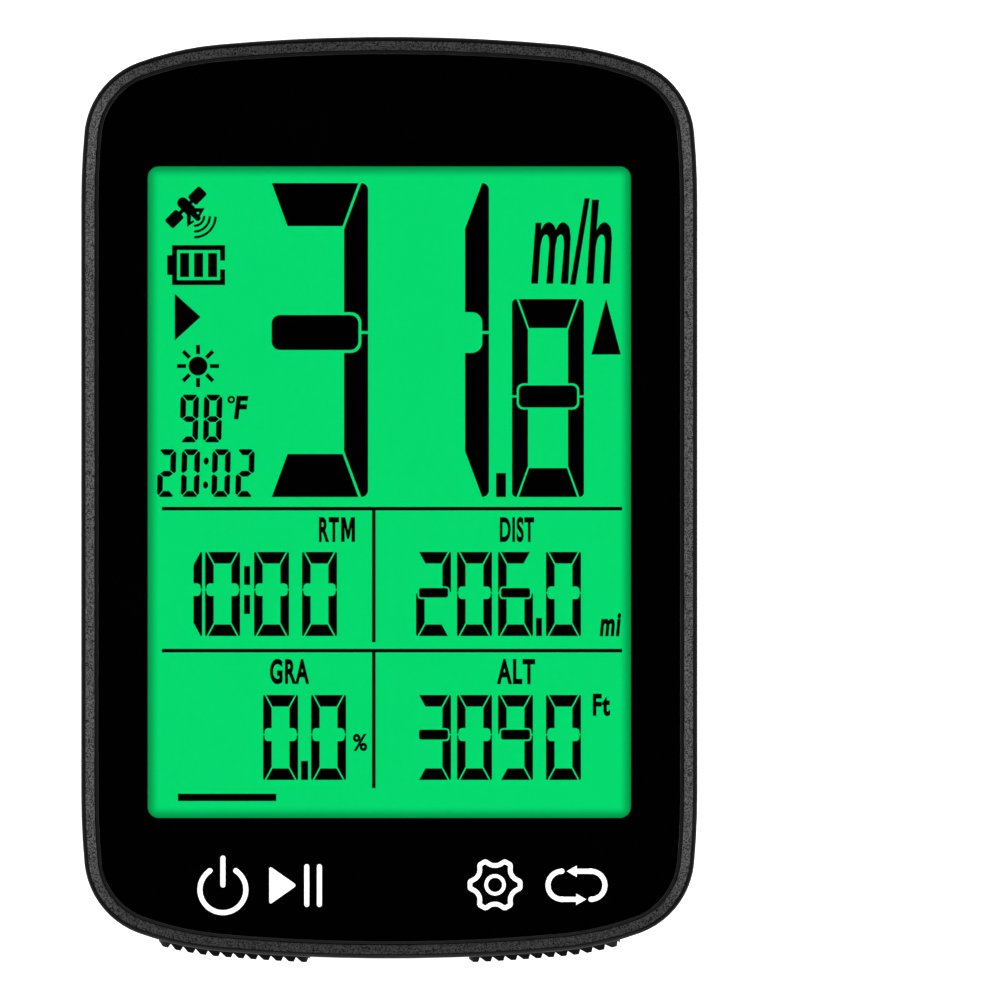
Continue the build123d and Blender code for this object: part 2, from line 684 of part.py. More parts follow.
def make_sensor():
    with BuildPart() as pressure_sensor:
        chip(vent_point, SENSOR_SIZE, board_bottom - SENSOR_SIZE[2])
        rod([vent_point], 0.35, board_bottom - SENSOR_SIZE[2], board_bottom - 0.5, Mode.SUBTRACT)
    keep(pressure_sensor, "pressure_sensor")
    with BuildPart() as vent_membrane:
        rod([vent_point], MEMBRANE[0], inner_floor, inner_floor + MEMBRANE[1])
    keep(vent_membrane, "vent_membrane")


def make_buzzer():
    point = [(BUZZER_X, end_parts_y)]
    low = board_bottom - BUZZER_HEIGHT
    with BuildPart() as buzzer:
        rod(point, BUZZER_RADIUS, low, board_bottom)
        chamfer(buzzer.edges().group_by(Axis.Z)[0], 0.2)
        rod(point, 0.6, low, low + 0.6, Mode.SUBTRACT)
    keep(buzzer, "buzzer")


# ---- Battery -----------------------------------------------------------------------------------
def make_battery():
    with BuildPart() as battery:
        block((-battery_x, battery_x), (-battery_y, battery_y), (battery_bottom, battery_top))
        fillet(battery.edges().filter_by(Axis.Y), BATTERY_EDGE)
        fillet(battery.edges().filter_by(Axis.Z), BATTERY_EDGE / 2)
    keep(battery, "battery")
    with BuildPart() as battery_tape:
        half = BACKING_RADIUS * cos(radians(45)) - 0.5
        block((-half, half), (-half, half), (backing_top, battery_bottom))
    keep(battery_tape, "battery_tape")


socket_y = battery_y + SOCKET_ROOM
socket_low = board_bottom - SOCKET_SIZE[2]


def make_battery_socket():
    width, length, _ = SOCKET_SIZE
    with BuildPart() as battery_socket:
        block((-width / 2, width / 2), (socket_y, socket_y + length), (socket_low, board_bottom))
    keep(battery_socket, "battery_socket")
    with BuildPart() as battery_leads:
        for x in (-LEAD_SPACING / 2, LEAD_SPACING / 2):
            with Locations((x, battery_y, socket_low + 2 * LEAD_RADIUS)):
                Cylinder(
                    LEAD_RADIUS,
                    SOCKET_ROOM,
                    rotation=(-90, 0, 0),
                    align=(Align.CENTER, Align.CENTER, Align.MIN),
                )
    keep(battery_leads, "battery_leads")


# ---- Charging port -----------------------------------------------------------------------------
def make_usb_port():
    front = half_length - PORT_SETBACK
    wide = PORT_WIDTH / 2
    high = PORT_HEIGHT / 2
    with BuildPart() as usb_port:
        with BuildSketch(Plane.XZ.offset(front - PORT_DEPTH)) as shell:
            with Locations((0, port_z)):
                Polygon(
                    (-wide, high),
                    (-wide, PORT_CHAMFER - high),
                    (PORT_CHAMFER - wide, -high),
                    (wide - PORT_CHAMFER, -high),
                    (wide, PORT_CHAMFER - high),
                    (wide, high),
                    align=None,
                )
        extrude(shell.sketch, amount=PORT_DEPTH)
        with BuildSketch(Plane.XZ.offset(front - PORT_DEPTH + 2 * PORT_SHELL)) as hollow:
            add(shell.sketch_local.faces()[0])
            offset(amount=-PORT_SHELL, kind=Kind.INTERSECTION, mode=Mode.REPLACE)
        extrude(hollow.sketch, amount=PORT_DEPTH, mode=Mode.SUBTRACT)
        tongue_z = (port_z + 0.05, port_z + 0.5)
        back = -(front - PORT_DEPTH + PORT_SHELL)
        block((-wide + 1.6, wide - 1.6), (-front + 1.5, back), tongue_z)
    keep(usb_port, "usb_port")


def make_usb_cover():
    inside = half_length - COVER_THICKNESS
    cover_x = (-COVER_HALF_WIDTH, COVER_HALF_WIDTH)
    with BuildPart() as usb_cover:
        block(cover_x, (-half_length - 1, -inside), (hinge_z, cover_top))
        case_slab(0, hinge_z - 1, cover_top + 1, Mode.INTERSECT)
        top_edge = usb_cover.edges().group_by(Axis.Z)[-1].sort_by(Axis.Y)[0]
        chamfer(top_edge, 0.4)
        x_cylinder(COVER_HALF_WIDTH, HINGE_RADIUS)
        width, reach, height = PLUG_SIZE
        plug_z = (port_z - height / 2, port_z + height / 2)
        end_prism((-width / 2, width / 2), plug_z, 0.4, inside - reach, inside)
        x_cylinder(COVER_HALF_WIDTH, PIN_RADIUS + PIN_CLEARANCE, Mode.SUBTRACT)
    keep(usb_cover, "usb_cover")
    with BuildPart() as cover_pin:
        x_cylinder(COVER_HALF_WIDTH + COVER_CLEARANCE + PIN_OVERLAP - 0.05, PIN_RADIUS)
    keep(cover_pin, "cover_pin")


# ---- Buttons and their switches ----------------------------------------------------------------
flange_inset = CASE_WALL + GASKET_GAP + GASKET_THICKNESS
flange_end = screw_point.X - SCREW_BOSS_RADIUS - 0.6
flange_near = outline_height(flange_end, flange_inset) - FLANGE_THICKNESS
switch_face = flange_near - STEM_LENGTH - PLUNGER_PROUD
switch_z = board_top + SWITCH_RISE


def flange_span(side):
    """X span of the flange that keeps a button in the case."""
    start = BUTTON_START + BUTTON_CLEARANCE
    return tuple(sorted((side * start, side * flange_end)))


def make_button(side, name):
    x_span = button_span(side)
    middle = (x_span[0] + x_span[1]) / 2
    flange_z = grow(button_z_span, FLANGE_LIP)
    pitch = (x_span[1] - x_span[0]) / RIB_COUNT
    with BuildPart() as button:
        end_prism(x_span, button_z_span, BUTTON_CORNER, flange_near, half_length + 2)
        case_slab(-BUTTON_PROUD, flange_z[0], flange_z[1], Mode.INTERSECT)
        with BuildSketch(Plane.XY.offset(flange_z[0])) as grooves:
            for rib in range(RIB_COUNT + 1):
                x = x_span[0] + rib * pitch
                surface = -outline_height(x, -BUTTON_PROUD)
                tilt = outline_slope(x, -BUTTON_PROUD) * (1 if x > 0 else -1)
                with Locations(Location((x, surface), tilt)):
                    Polygon(
                        (-0.3 * pitch, -0.1),
                        (0.45 * pitch, -0.1),
                        (-0.12 * pitch, RIB_DEPTH),
                        align=None,
                    )
        extrude(grooves.sketch, amount=flange_z[1] - flange_z[0], mode=Mode.SUBTRACT)
        with BuildPart(mode=Mode.PRIVATE) as flange:
            end_prism(flange_span(side), flange_z, BUTTON_CORNER, flange_near, half_length)
            case_slab(flange_inset, flange_z[0], flange_z[1], Mode.INTERSECT)
        add(flange.part)
        stem_x = grow((middle, middle), STEM_WIDTH / 2)
        stem_z = grow((switch_z, switch_z), STEM_HEIGHT / 2)
        end_prism(stem_x, stem_z, 0.4, flange_near - STEM_LENGTH, flange_near)
    keep(button, f"{name}_button")

    with BuildPart() as gasket:
        lip_span = grow(x_span, GASKET_LIP)
        end_prism(lip_span, flange_z, BUTTON_CORNER, flange_near, half_length)
        case_slab(CASE_WALL + GASKET_GAP, flange_z[0], flange_z[1], Mode.INTERSECT)
        case_slab(flange_inset - GASKET_FIT, flange_z[0], flange_z[1], Mode.SUBTRACT)
        hole_x = grow(x_span, GASKET_FIT)
        hole_z = grow(button_z_span, GASKET_FIT)
        end_prism(hole_x, hole_z, BUTTON_CORNER, flange_near, half_length, Mode.SUBTRACT)
    keep(gasket, f"{name}_button_gasket")

    with BuildPart() as plunger:
        with Locations((middle, -switch_face + PLUNGER_ENGAGED, switch_z)):
            Cylinder(
                PLUNGER_RADIUS,
                PLUNGER_PROUD + PLUNGER_ENGAGED,
                rotation=(90, 0, 0),
                align=(Align.CENTER, Align.CENTER, Align.MIN),
            )
    keep(plunger, f"{name}_switch_plunger")

    width, length, height = SWITCH_SIZE
    with BuildPart() as switch:
        switch_y = (-switch_face, -switch_face + length)
        block((middle - width / 2, middle + width / 2), switch_y, (board_top, board_top + height))
        with Locations((middle, -switch_face, switch_z)):
            Cylinder(
                PLUNGER_RADIUS + PLUNGER_CLEARANCE,
                PLUNGER_ENGAGED + BUTTON_TRAVEL + 0.1,
                rotation=(-90, 0, 0),
                align=(Align.CENTER, Align.CENTER, Align.MIN),
                mode=Mode.SUBTRACT,
            )
    keep(switch, f"{name}_switch")


# ---- Quarter-turn boss -------------------------------------------------------------------------
def make_quarter_turn_boss():
    with BuildPart() as boss:
        rod([(0, 0)], BOSS_RADIUS, boss_bottom, case_back)
        chamfer(boss.edges().group_by(Axis.Z)[0], WING_RISE)
        with BuildSketch(Plane.XY.offset(wing_bottom)) as wings:
            Circle(WING_RADIUS)
            Rectangle(2 * WING_RADIUS, WING_WIDTH, mode=Mode.INTERSECT)
        extrude(wings.sketch, amount=WING_THICKNESS)
        dish_radius, dish_depth = BOSS_DISH
        rod([(0, 0)], dish_radius, boss_bottom, boss_bottom + dish_depth, Mode.SUBTRACT)
        head, _, shank, _ = BOSS_SCREW
        counterbore = boss_bottom + BOSS_COUNTERBORE
        rod(boss_screw_points, head + HEAD_CLEARANCE, boss_bottom, counterbore, Mode.SUBTRACT)
        rod(boss_screw_points, shank + HOLE_CLEARANCE, counterbore, case_back, Mode.SUBTRACT)
    keep(boss, "quarter_turn_boss")


# ---- Handlebar mount ---------------------------------------------------------------------------
def make_mount_base():
    slot_half = WING_WIDTH / 2 + SLOT_CLEARANCE
    with BuildPart() as mount_base:
        rod([(0, 0)], MOUNT_RADIUS, pad_top, lip_top)
        fillet(mount_base.edges().group_by(Axis.Z)[-1], 0.5)
        with BuildSketch(Plane.XY.offset(pad_top)) as lugs:
            for angle in (45, 135):
                with Locations(Location((0, 0), angle)):
                    Rectangle(2 * LUG_RADIUS + 2, LUG_WIDTH)
            Circle(LUG_RADIUS, mode=Mode.INTERSECT)
            fillet(lugs.vertices().filter_by(lambda v: beyond(v, LUG_RADIUS)), LUG_CORNER)
            Circle(MOUNT_RADIUS - 1, mode=Mode.SUBTRACT)
        extrude(lugs.sketch, amount=LUG_HEIGHT)
        groove_floor = pad_top + LUG_FLOOR
        lip_inner = LUG_RADIUS - LUG_LIP
        hook_bottom = pad_top + LUG_HEIGHT - LUG_HOOK
        for inner, bottom, top in (
            (lip_inner, groove_floor, hook_bottom),
            (lip_inner - LUG_HOOK, hook_bottom, pad_top + LUG_HEIGHT),
        ):
            with BuildSketch(Plane.XY.offset(bottom)) as groove:
                Circle(inner)
                Circle(MOUNT_RADIUS, mode=Mode.SUBTRACT)
            extrude(groove.sketch, amount=top - bottom, mode=Mode.SUBTRACT)

        with BuildSketch(Plane.XY.offset(socket_floor)) as receptacle:
            Circle(channel_radius)
            Rectangle(2 * slot_half, 2 * channel_radius, mode=Mode.INTERSECT)
            Circle(socket_radius)
        extrude(receptacle.sketch, amount=lip_top - socket_floor, mode=Mode.SUBTRACT)
        rod([(0, 0)], channel_radius, socket_floor, lip_bottom, Mode.SUBTRACT)

        with BuildSketch(Plane.XY.offset(pad_top)) as flex_slots:
            for side in (0, 180):
                with BuildLine() as edge:
                    radius = socket_radius - FLEX_SLOT_WIDTH / 2
                    CenterArc((0, 0), radius, side - FLEX_SLOT_SWEEP, 2 * FLEX_SLOT_SWEEP)
                trace(edge.edges(), FLEX_SLOT_WIDTH)
            slot_length = socket_radius - FLEX_SLOT_WIDTH / 2 - ARM_SLOT_START
            arm_x = ARM_SLOT_START + slot_length / 2 - 0.6
            with Locations(*[(sx * arm_x, sy * ARM_SLOT_Y) for sx in (-1, 1) for sy in (-1, 1)]):
                SlotOverall(slot_length - 1.2, ARM_SLOT_WIDTH)
            slit_start = socket_radius * sin(radians(FLEX_SLOT_SWEEP)) - FLEX_SLOT_WIDTH / 2
            slit_x = slot_half - FLEX_SLOT_WIDTH / 2
            slit_y = (slit_start + TAB_SLIT_END) / 2
            with Locations(*[(sx * slit_x, sy * slit_y) for sx in (-1, 1) for sy in (-1, 1)]):
                Rectangle(FLEX_SLOT_WIDTH, TAB_SLIT_END - slit_start)
            Circle(MOUNT_HOLE_RADIUS)
        extrude(flex_slots.sketch, amount=MOUNT_FLOOR, mode=Mode.SUBTRACT)

        start, end, narrow, wide, height = DETENT
        with BuildSketch(Plane.XY.offset(socket_floor)) as detents:
            for side in (-1, 1):
                Polygon(
                    (side * start, -narrow / 2),
                    (side * end, -wide / 2),
                    (side * end, wide / 2),
                    (side * start, narrow / 2),
                    align=None,
                )
        extrude(detents.sketch, amount=height)
        peg_points = [(0, PEG_SPACING / 2), (0, -PEG_SPACING / 2)]
        rod(peg_points, PEG_RADIUS, pad_top - PEG_LENGTH, pad_top)
    keep(mount_base, "mount_base")


def make_mount_pad():
    narrow, wide = PAD_LOBE_WIDTHS
    inner = PAD_RADIUS - 3
    peg_points = [(0, PEG_SPACING / 2), (0, -PEG_SPACING / 2)]
    with BuildPart() as mount_pad:
        with BuildSketch() as outline:
            for angle in (45, 135, 225, 315):
                with Locations(Location((0, 0), angle)):
                    Polygon(
                        (inner, -narrow / 2),
                        (PAD_LOBE_RADIUS + 1, -wide / 2),
                        (PAD_LOBE_RADIUS + 1, wide / 2),
                        (inner, narrow / 2),
                        align=None,
                    )
            Circle(PAD_LOBE_RADIUS, mode=Mode.INTERSECT)
            tips = outline.vertices().filter_by(lambda v: beyond(v, PAD_LOBE_RADIUS))
            fillet(tips, PAD_LOBE_CORNER)
            Circle(PAD_RADIUS)
        extrude(outline.sketch, amount=PAD_THICKNESS)
        depth = BAR_RADIUS - sqrt(BAR_RADIUS**2 - TROUGH_HALF_WIDTH**2)
        with Locations((0, 0, depth - BAR_RADIUS)):
            Cylinder(BAR_RADIUS, 3 * PAD_RADIUS, rotation=(90, 0, 0), mode=Mode.SUBTRACT)
        rod([(0, 0)], PAD_HOLE_RADIUS, 0, PAD_THICKNESS, Mode.SUBTRACT)
        hole = PEG_RADIUS + PEG_CLEARANCE
        rod(peg_points, hole, 0, PAD_THICKNESS, Mode.SUBTRACT)
        counterbore = PAD_THICKNESS - PEG_LENGTH
        rod(peg_points, PEG_COUNTERBORE, 0, counterbore, Mode.SUBTRACT)
        arc_radius, arc_width, arc_depth, arc_sweep = PAD_ARC
        with BuildSketch() as arcs:
            for side in (0, 180):
                with BuildLine() as arc:
                    CenterArc((0, 0), arc_radius, side - arc_sweep, 2 * arc_sweep)
                trace(arc.edges(), arc_width)
        extrude(arcs.sketch, amount=arc_depth, mode=Mode.SUBTRACT)
    keep(mount_pad, "mount_pad")


def make_rubber_bands():
    for level, name in enumerate(("rubber_band_lower", "rubber_band_upper")):
        z = pad_top + LUG_FLOOR + BAND_GAP + BAND_RADIUS
        z += level * (2 * BAND_RADIUS + BAND_GAP)
        with BuildPart() as band:
            with Locations((0, 0, z)):
                Torus(BAND_OUTER_RADIUS - BAND_RADIUS, BAND_RADIUS)
        keep(band, name)


os.makedirs("parts", exist_ok=True)
make_front_case()
make_back_case()
make_case_seal()
case_screw_bottom = case_back + CASE_COUNTERBORE - CASE_SCREW[1]
make_screws("case_screws", screw_points, case_screw_bottom, CASE_SCREW)
boss_screw_bottom = boss_bottom + BOSS_COUNTERBORE - BOSS_SCREW[1]
make_screws("boss_screws", boss_screw_points, boss_screw_bottom, BOSS_SCREW)
make_screws("board_screws", leg_points, board_bottom - BOARD_SCREW[1], BOARD_SCREW)
make_front_lens()
make_lens_bond()
make_display_sheet("lcd_panel", panel_x, panel_bottom, seat, panel_top_y)
make_display_sheet("backlight_diffuser", sheet_x, guide_top, panel_bottom, led_y - LED_GAP)
make_display_sheet("backlight_guide", sheet_x, guide_bottom, guide_top, led_y - LED_GAP)
make_display_sheet("backlight_reflector", sheet_x, frame_floor_top, guide_bottom, led_y - LED_GAP)
make_leds()
make_lcd_frame()
make_lcd_flex()
make_main_board()
make_shield_can()
make_board_parts()
make_aerial()
make_sensor()
make_buzzer()
make_battery()
make_battery_socket()
make_usb_port()
make_usb_cover()
make_button(-1, "start")
make_button(1, "menu")
make_quarter_turn_boss()
make_mount_base()
make_mount_pad()
make_rubber_bands()
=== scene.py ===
import json
import math
from collections import namedtuple

import bmesh
import bpy
from bpy.props import FloatProperty, FloatVectorProperty, PointerProperty, StringProperty
from bpy.types import NodeSocket, Operator, Panel, PropertyGroup
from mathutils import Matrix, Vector

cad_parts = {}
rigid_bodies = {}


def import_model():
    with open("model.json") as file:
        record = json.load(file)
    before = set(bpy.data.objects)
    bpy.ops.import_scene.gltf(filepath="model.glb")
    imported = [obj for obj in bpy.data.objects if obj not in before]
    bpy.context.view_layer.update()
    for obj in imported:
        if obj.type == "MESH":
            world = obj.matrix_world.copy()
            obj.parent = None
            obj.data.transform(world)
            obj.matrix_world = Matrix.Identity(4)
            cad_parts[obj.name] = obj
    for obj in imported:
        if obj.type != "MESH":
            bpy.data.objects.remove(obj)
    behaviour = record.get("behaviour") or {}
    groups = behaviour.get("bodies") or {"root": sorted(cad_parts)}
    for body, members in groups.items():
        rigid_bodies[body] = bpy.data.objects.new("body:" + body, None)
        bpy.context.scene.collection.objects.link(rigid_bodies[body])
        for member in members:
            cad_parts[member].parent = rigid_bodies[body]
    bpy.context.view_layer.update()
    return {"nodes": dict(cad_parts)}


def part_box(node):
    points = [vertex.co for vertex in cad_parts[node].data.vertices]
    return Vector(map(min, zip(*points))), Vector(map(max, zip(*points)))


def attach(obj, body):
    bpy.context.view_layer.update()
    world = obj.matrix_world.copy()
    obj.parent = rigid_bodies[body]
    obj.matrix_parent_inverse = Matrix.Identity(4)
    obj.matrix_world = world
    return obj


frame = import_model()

bl_info = {
    "name": "Cycling Computer",
    "version": (1, 0, 0),
    "blender": (4, 5, 0),
    "location": "3D View > Sidebar > Computer",
    "description": "Finishes, display, key marks and stage of a cycling computer on its bar mount",
    "category": "Object",
}

MM = 0.001
CASE_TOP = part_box("front_case")[1].z
LENS_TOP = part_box("front_lens")[1].z

# The display's plates lie just above the panel, and the key marks just above the black border.
SEGMENT_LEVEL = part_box("lcd_panel")[1].z + 0.02 * MM
SEGMENT_THICKNESS = 0.04 * MM
PRINT_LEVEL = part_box("lens_bond")[1].z + 0.004 * MM
PRINT_THICKNESS = 0.01 * MM

# Visible window of the display, in millimetres from the middle of the case.
WINDOW_HALF_WIDTH = 21.95
WINDOW_HALF_HEIGHT = 29.6
WINDOW_MIDDLE_Y = 0.5
WINDOW_CORNER = 1.0

FLOOR_SIZE = 4.0
FLOOR_LEVEL = -0.02 * MM
SENSOR_WIDTH = 36.0
VIEW_MIDDLE = (10.06 * MM, -0.21 * MM)
# Brightness of the room's walls, from the horizon (0) to straight above (1).
HORIZON_TONE, TOP_RISE, TOP_TONE = 1.0, 0.95, 0.002
WALL_TONES = ((0.01, 0.4), (0.30, 0.34), (0.58, 0.12), (0.80, 0.012))


# ---- Settings that a user would change ----


class CaseFinish(PropertyGroup):
    """Colours and grain of the case and its blasted rim"""

    body_colour: FloatVectorProperty(
        name="Case colour", description="Colour of the smooth black moulding",
        subtype="COLOR", size=3, min=0, max=1, default=(0.0022, 0.0022, 0.0023),
    )
    rim_colour: FloatVectorProperty(
        name="Rim colour", description="Colour of the bright grains on the blasted rim",
        subtype="COLOR", size=3, min=0, max=1, default=(0.125, 0.125, 0.127),
    )
    grain_size: FloatProperty(
        name="Blast grain", description="Size of one grain on the rim",
        unit="LENGTH", precision=5, min=0.00002, default=0.00008,
    )


class ScreenLook(PropertyGroup):
    """Light and colour of the display"""

    lit_colour: FloatVectorProperty(
        name="Lit colour", description="Colour of the lit background",
        subtype="COLOR", size=3, min=0, max=1, default=(0.0, 0.735, 0.165),
    )
    # The edge colour is painted shade, darkening the display along the window's edge.
    edge_colour: FloatVectorProperty(
        name="Edge colour",
        description="Colour of the background in the shade of the window's edge",
        subtype="COLOR", size=3, min=0, max=1, default=(0.0, 0.30, 0.065),
    )
    shade_width: FloatProperty(
        name="Edge shade", description="Width of the soft shade along the window's edge",
        unit="LENGTH", precision=5, min=0.0001, default=0.0011,
    )
    glow: FloatProperty(
        name="Glow", description="Strength of the backlight", min=0, default=1.0,
    )


class Readings(PropertyGroup):
    """Figures that the display shows"""

    speed: StringProperty(name="Speed", description="Whole part of the speed", default="31")
    speed_tenths: StringProperty(name="Tenths", description="Tenths of the speed", default="8")
    temperature: StringProperty(name="Temperature", description="Air temperature", default="98")
    clock: StringProperty(name="Clock", description="Hours and minutes", default="2002")
    ride_time: StringProperty(
        name="Ride time", description="Ride time after its leading one", default="000"
    )
    distance: StringProperty(name="Distance", description="Trip distance in tenths", default="2060")
    gradient: StringProperty(name="Gradient", description="Slope in tenths", default="00")
    altitude: StringProperty(name="Altitude", description="Height above the sea", default="3090")


class PrintLook(PropertyGroup):
    """Marks printed behind the lens"""

    # The print colour is also the colour of the marks' painted glow.
    colour: FloatVectorProperty(
        name="Print colour", description="Colour of the key marks",
        subtype="COLOR", size=3, min=0, max=1, default=(0.90, 0.90, 0.90),
    )
    stroke: FloatProperty(
        name="Stroke", description="Width of a printed line",
        unit="LENGTH", precision=5, min=0.0001, default=0.00046,
    )


class MountFinish(PropertyGroup):
    """Colours of the bar mount, its pad and bands"""

    plastic_colour: FloatVectorProperty(
        name="Mount colour", description="Colour of the moulded mount",
        subtype="COLOR", size=3, min=0, max=1, default=(0.010, 0.010, 0.0105),
    )
    rubber_colour: FloatVectorProperty(
        name="Rubber colour", description="Colour of the pad and the bands",
        subtype="COLOR", size=3, min=0, max=1, default=(0.008, 0.008, 0.008),
    )


class StageLook(PropertyGroup):
    """Floor, lights and camera"""

    floor_colour: FloatVectorProperty(
        name="Floor colour", description="Colour of the pale floor",
        subtype="COLOR", size=3, min=0, max=1, default=(0.88, 0.88, 0.88),
    )
    side_light: FloatProperty(
        name="Side lights", description="Power of each of the two side softboxes",
        unit="POWER", min=0, default=2.8,
    )
    front_light: FloatProperty(
        name="Front light", description="Power of the low softbox at the key end",
        unit="POWER", min=0, default=3.4,
    )
    view_width: FloatProperty(
        name="View width", description="Width that the camera takes in at the height of the lens",
        unit="LENGTH", precision=5, min=0.01, default=0.090844,
    )
    camera_lens: FloatProperty(
        name="Focal length", description="Focal length of the camera in millimetres",
        min=50, default=1500.0,
    )


class ComputerSettings(PropertyGroup):
    """Everything that the panel shows"""

    case: PointerProperty(type=CaseFinish)
    screen: PointerProperty(type=ScreenLook)
    readings: PointerProperty(type=Readings)
    marks: PointerProperty(type=PrintLook)
    mount: PointerProperty(type=MountFinish)
    stage: PointerProperty(type=StageLook)


# ---- Drawing flat pieces, on the display unless another level is given ----


def deselect_all():
    if bpy.context.object and bpy.context.object.mode != "OBJECT":
        bpy.ops.object.mode_set(mode="OBJECT")
    bpy.ops.object.select_all(action="DESELECT")


def select_pieces(pieces):
    """Selects these objects alone, with the first one active."""
    deselect_all()
    for piece in pieces:
        piece.select_set(True)
    bpy.context.view_layer.objects.active = pieces[0]


def open_piece(name):
    """Starts an empty mesh at the origin and goes into edit mode."""
    deselect_all()
    bpy.ops.mesh.primitive_plane_add(size=MM)
    piece = bpy.context.object
    piece.name = piece.data.name = name
    bpy.ops.object.mode_set(mode="EDIT")
    bpy.ops.mesh.select_mode(type="VERT")
    bpy.ops.mesh.delete(type="VERT")
    return piece


def close_piece(piece, thickness):
    """Gives the flat faces their thickness and leaves edit mode."""
    bpy.ops.mesh.select_all(action="SELECT")
    bpy.ops.mesh.remove_doubles(threshold=0.0005 * MM)
    bpy.ops.mesh.extrude_region_move(TRANSFORM_OT_translate={"value": (0, 0, thickness)})
    bpy.ops.mesh.select_all(action="SELECT")
    bpy.ops.mesh.normals_make_consistent(inside=False)
    bpy.ops.object.mode_set(mode="OBJECT")


def select_where(piece, test):
    """Selects the vertices whose places pass a test."""
    bpy.ops.mesh.select_all(action="DESELECT")
    mesh = bmesh.from_edit_mesh(piece.data)
    for vertex in mesh.verts:
        vertex.select = test(vertex.co)
    mesh.select_flush_mode()
    bmesh.update_edit_mesh(piece.data)


def start_point(x, y, level):
    """Adds one selected vertex."""
    bpy.ops.mesh.primitive_plane_add(size=MM, location=(x * MM, y * MM, level))
    bpy.ops.mesh.merge(type="CENTER")


def run_line(steps):
    """Extrudes the selected vertex along a list of steps in millimetres."""
    for x, y in steps:
        bpy.ops.mesh.extrude_vertices_move(
            TRANSFORM_OT_translate={"value": (x * MM, y * MM, 0)}
        )


def round_corners(radius, segments=6):
    """Rounds the selected corners, to a radius in millimetres."""
    bpy.ops.mesh.bevel(offset=radius * MM, segments=segments, affect="VERTICES")


def add_bar(left, right, bottom, top, level=SEGMENT_LEVEL, rounding=0, turn=0):
    """A rectangle between four sides in millimetres, rounded and turned about its middle."""
    middle = ((left + right) / 2 * MM, (bottom + top) / 2 * MM, level)
    bpy.ops.mesh.primitive_plane_add(size=MM, location=middle)
    bpy.ops.transform.resize(value=(right - left, top - bottom, 1), center_override=middle)
    if rounding:
        round_corners(rounding)
        bpy.ops.mesh.select_linked()
    if turn:
        bpy.ops.transform.rotate(
            value=-math.radians(turn), orient_axis="Z", center_override=middle
        )


def add_outline(piece, corners, rounded=None, level=SEGMENT_LEVEL):
    """A flat face drawn from corner to corner; rounded gives the radius of some corners."""
    start_point(*corners[0], level)
    run_line([(x1 - x0, y1 - y0) for (x0, y0), (x1, y1) in zip(corners, corners[1:])])
    bpy.ops.mesh.select_linked()
    bpy.ops.mesh.edge_face_add()
    for corner, radius in (rounded or {}).items():
        x, y = corners[corner]
        spot = Vector((x * MM, y * MM, level))
        select_where(piece, lambda place: (place - spot).length < 0.004 * MM)
        round_corners(radius)


def add_disc(x, y, radius, level=SEGMENT_LEVEL, stretch=1.0, sides=28):
    """A round face, or an oval one with stretch along y."""
    middle = (x * MM, y * MM, level)
    bpy.ops.mesh.primitive_circle_add(
        vertices=sides, radius=radius * MM, fill_type="NGON", location=middle
    )
    if stretch != 1.0:
        bpy.ops.transform.resize(value=(1, stretch, 1), center_override=middle)


def add_arc(x, y, radius, stroke, start, sweep, steps, level=SEGMENT_LEVEL):
    """A curved stroke with round ends, spun from an edge across it; angles in degrees."""
    turn = math.radians(start)
    along = Vector((math.cos(turn), math.sin(turn)))
    inner = Vector((x, y)) + along * (radius - stroke / 2)
    start_point(inner.x, inner.y, level)
    run_line([(along.x * stroke, along.y * stroke)])
    bpy.ops.mesh.select_linked()
    bpy.ops.mesh.spin(
        steps=steps, angle=math.radians(sweep), center=(x * MM, y * MM, level), axis=(0, 0, -1)
    )
    if sweep < 360:
        for turn in (math.radians(start), math.radians(start + sweep)):
            end_x, end_y = x + radius * math.cos(turn), y + radius * math.sin(turn)
            add_disc(end_x, end_y, stroke / 2, level, sides=16)


def join_on_display(name, parts):
    """Joins flat parts into one display piece whose place is in its mesh."""
    select_pieces(parts)
    bpy.ops.object.join()
    piece = bpy.context.object
    piece.name = piece.data.name = name
    bpy.ops.object.transform_apply(location=True, rotation=True, scale=True)
    bpy.ops.object.mode_set(mode="EDIT")
    bpy.ops.mesh.select_mode(type="VERT")
    close_display_piece(piece)


def settle(piece, material):
    """Gives a new piece its material and lets it ride on the computer."""
    piece.data.materials.clear()
    piece.data.materials.append(material)
    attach(piece, "computer")
    piece.select_set(False)


def close_display_piece(piece):
    close_piece(piece, SEGMENT_THICKNESS)
    settle(piece, segment_material())


# ---- Seven-segment figures ----

# All in millimetres: stroke is an upright's width, bar a top or bottom bar's height, split the
# height of the middle bar's axis, gap the clear line between two segments and neck what is left
# of an upright beside the middle bar.
FigureShape = namedtuple("FigureShape", "width height stroke bar middle split gap neck corner")

SPEED_SHAPE = FigureShape(9.63, 28.53, 2.18, 3.91, 3.18, 14.95, 0.26, 0.61, 0.62)
TENTHS_SHAPE = FigureShape(6.54, 17.99, 1.45, 2.63, 2.00, 9.14, 0.19, 0.43, 0.42)
TIME_SHAPE = FigureShape(3.18, 7.64, 0.78, 1.05, 0.86, 4.21, 0.14, 0.13, 0.14)
DISTANCE_SHAPE = FigureShape(3.18, 7.64, 0.78, 1.05, 0.86, 3.93, 0.14, 0.13, 0.14)
LOWER_SHAPE = FigureShape(3.18, 7.72, 0.78, 1.05, 0.90, 4.12, 0.14, 0.13, 0.14)
SLIM_SHAPE = FigureShape(1.68, 4.35, 0.52, 0.55, 0.53, 2.12, 0.055, 0.0, 0.24)
SLIM_LEAN = 0.025

# Lower ends of the rows of figures, and the columns of a field of four.
MAIN_ROW, FIELD_ROW, LAST_ROW, WARMTH_ROW = 0.06, -12.57, -25.65, 5.02
FIELD_COLUMNS = (2.43, 6.15, 9.88, 14.24)
LEADING_ONE_RIGHT = -17.01

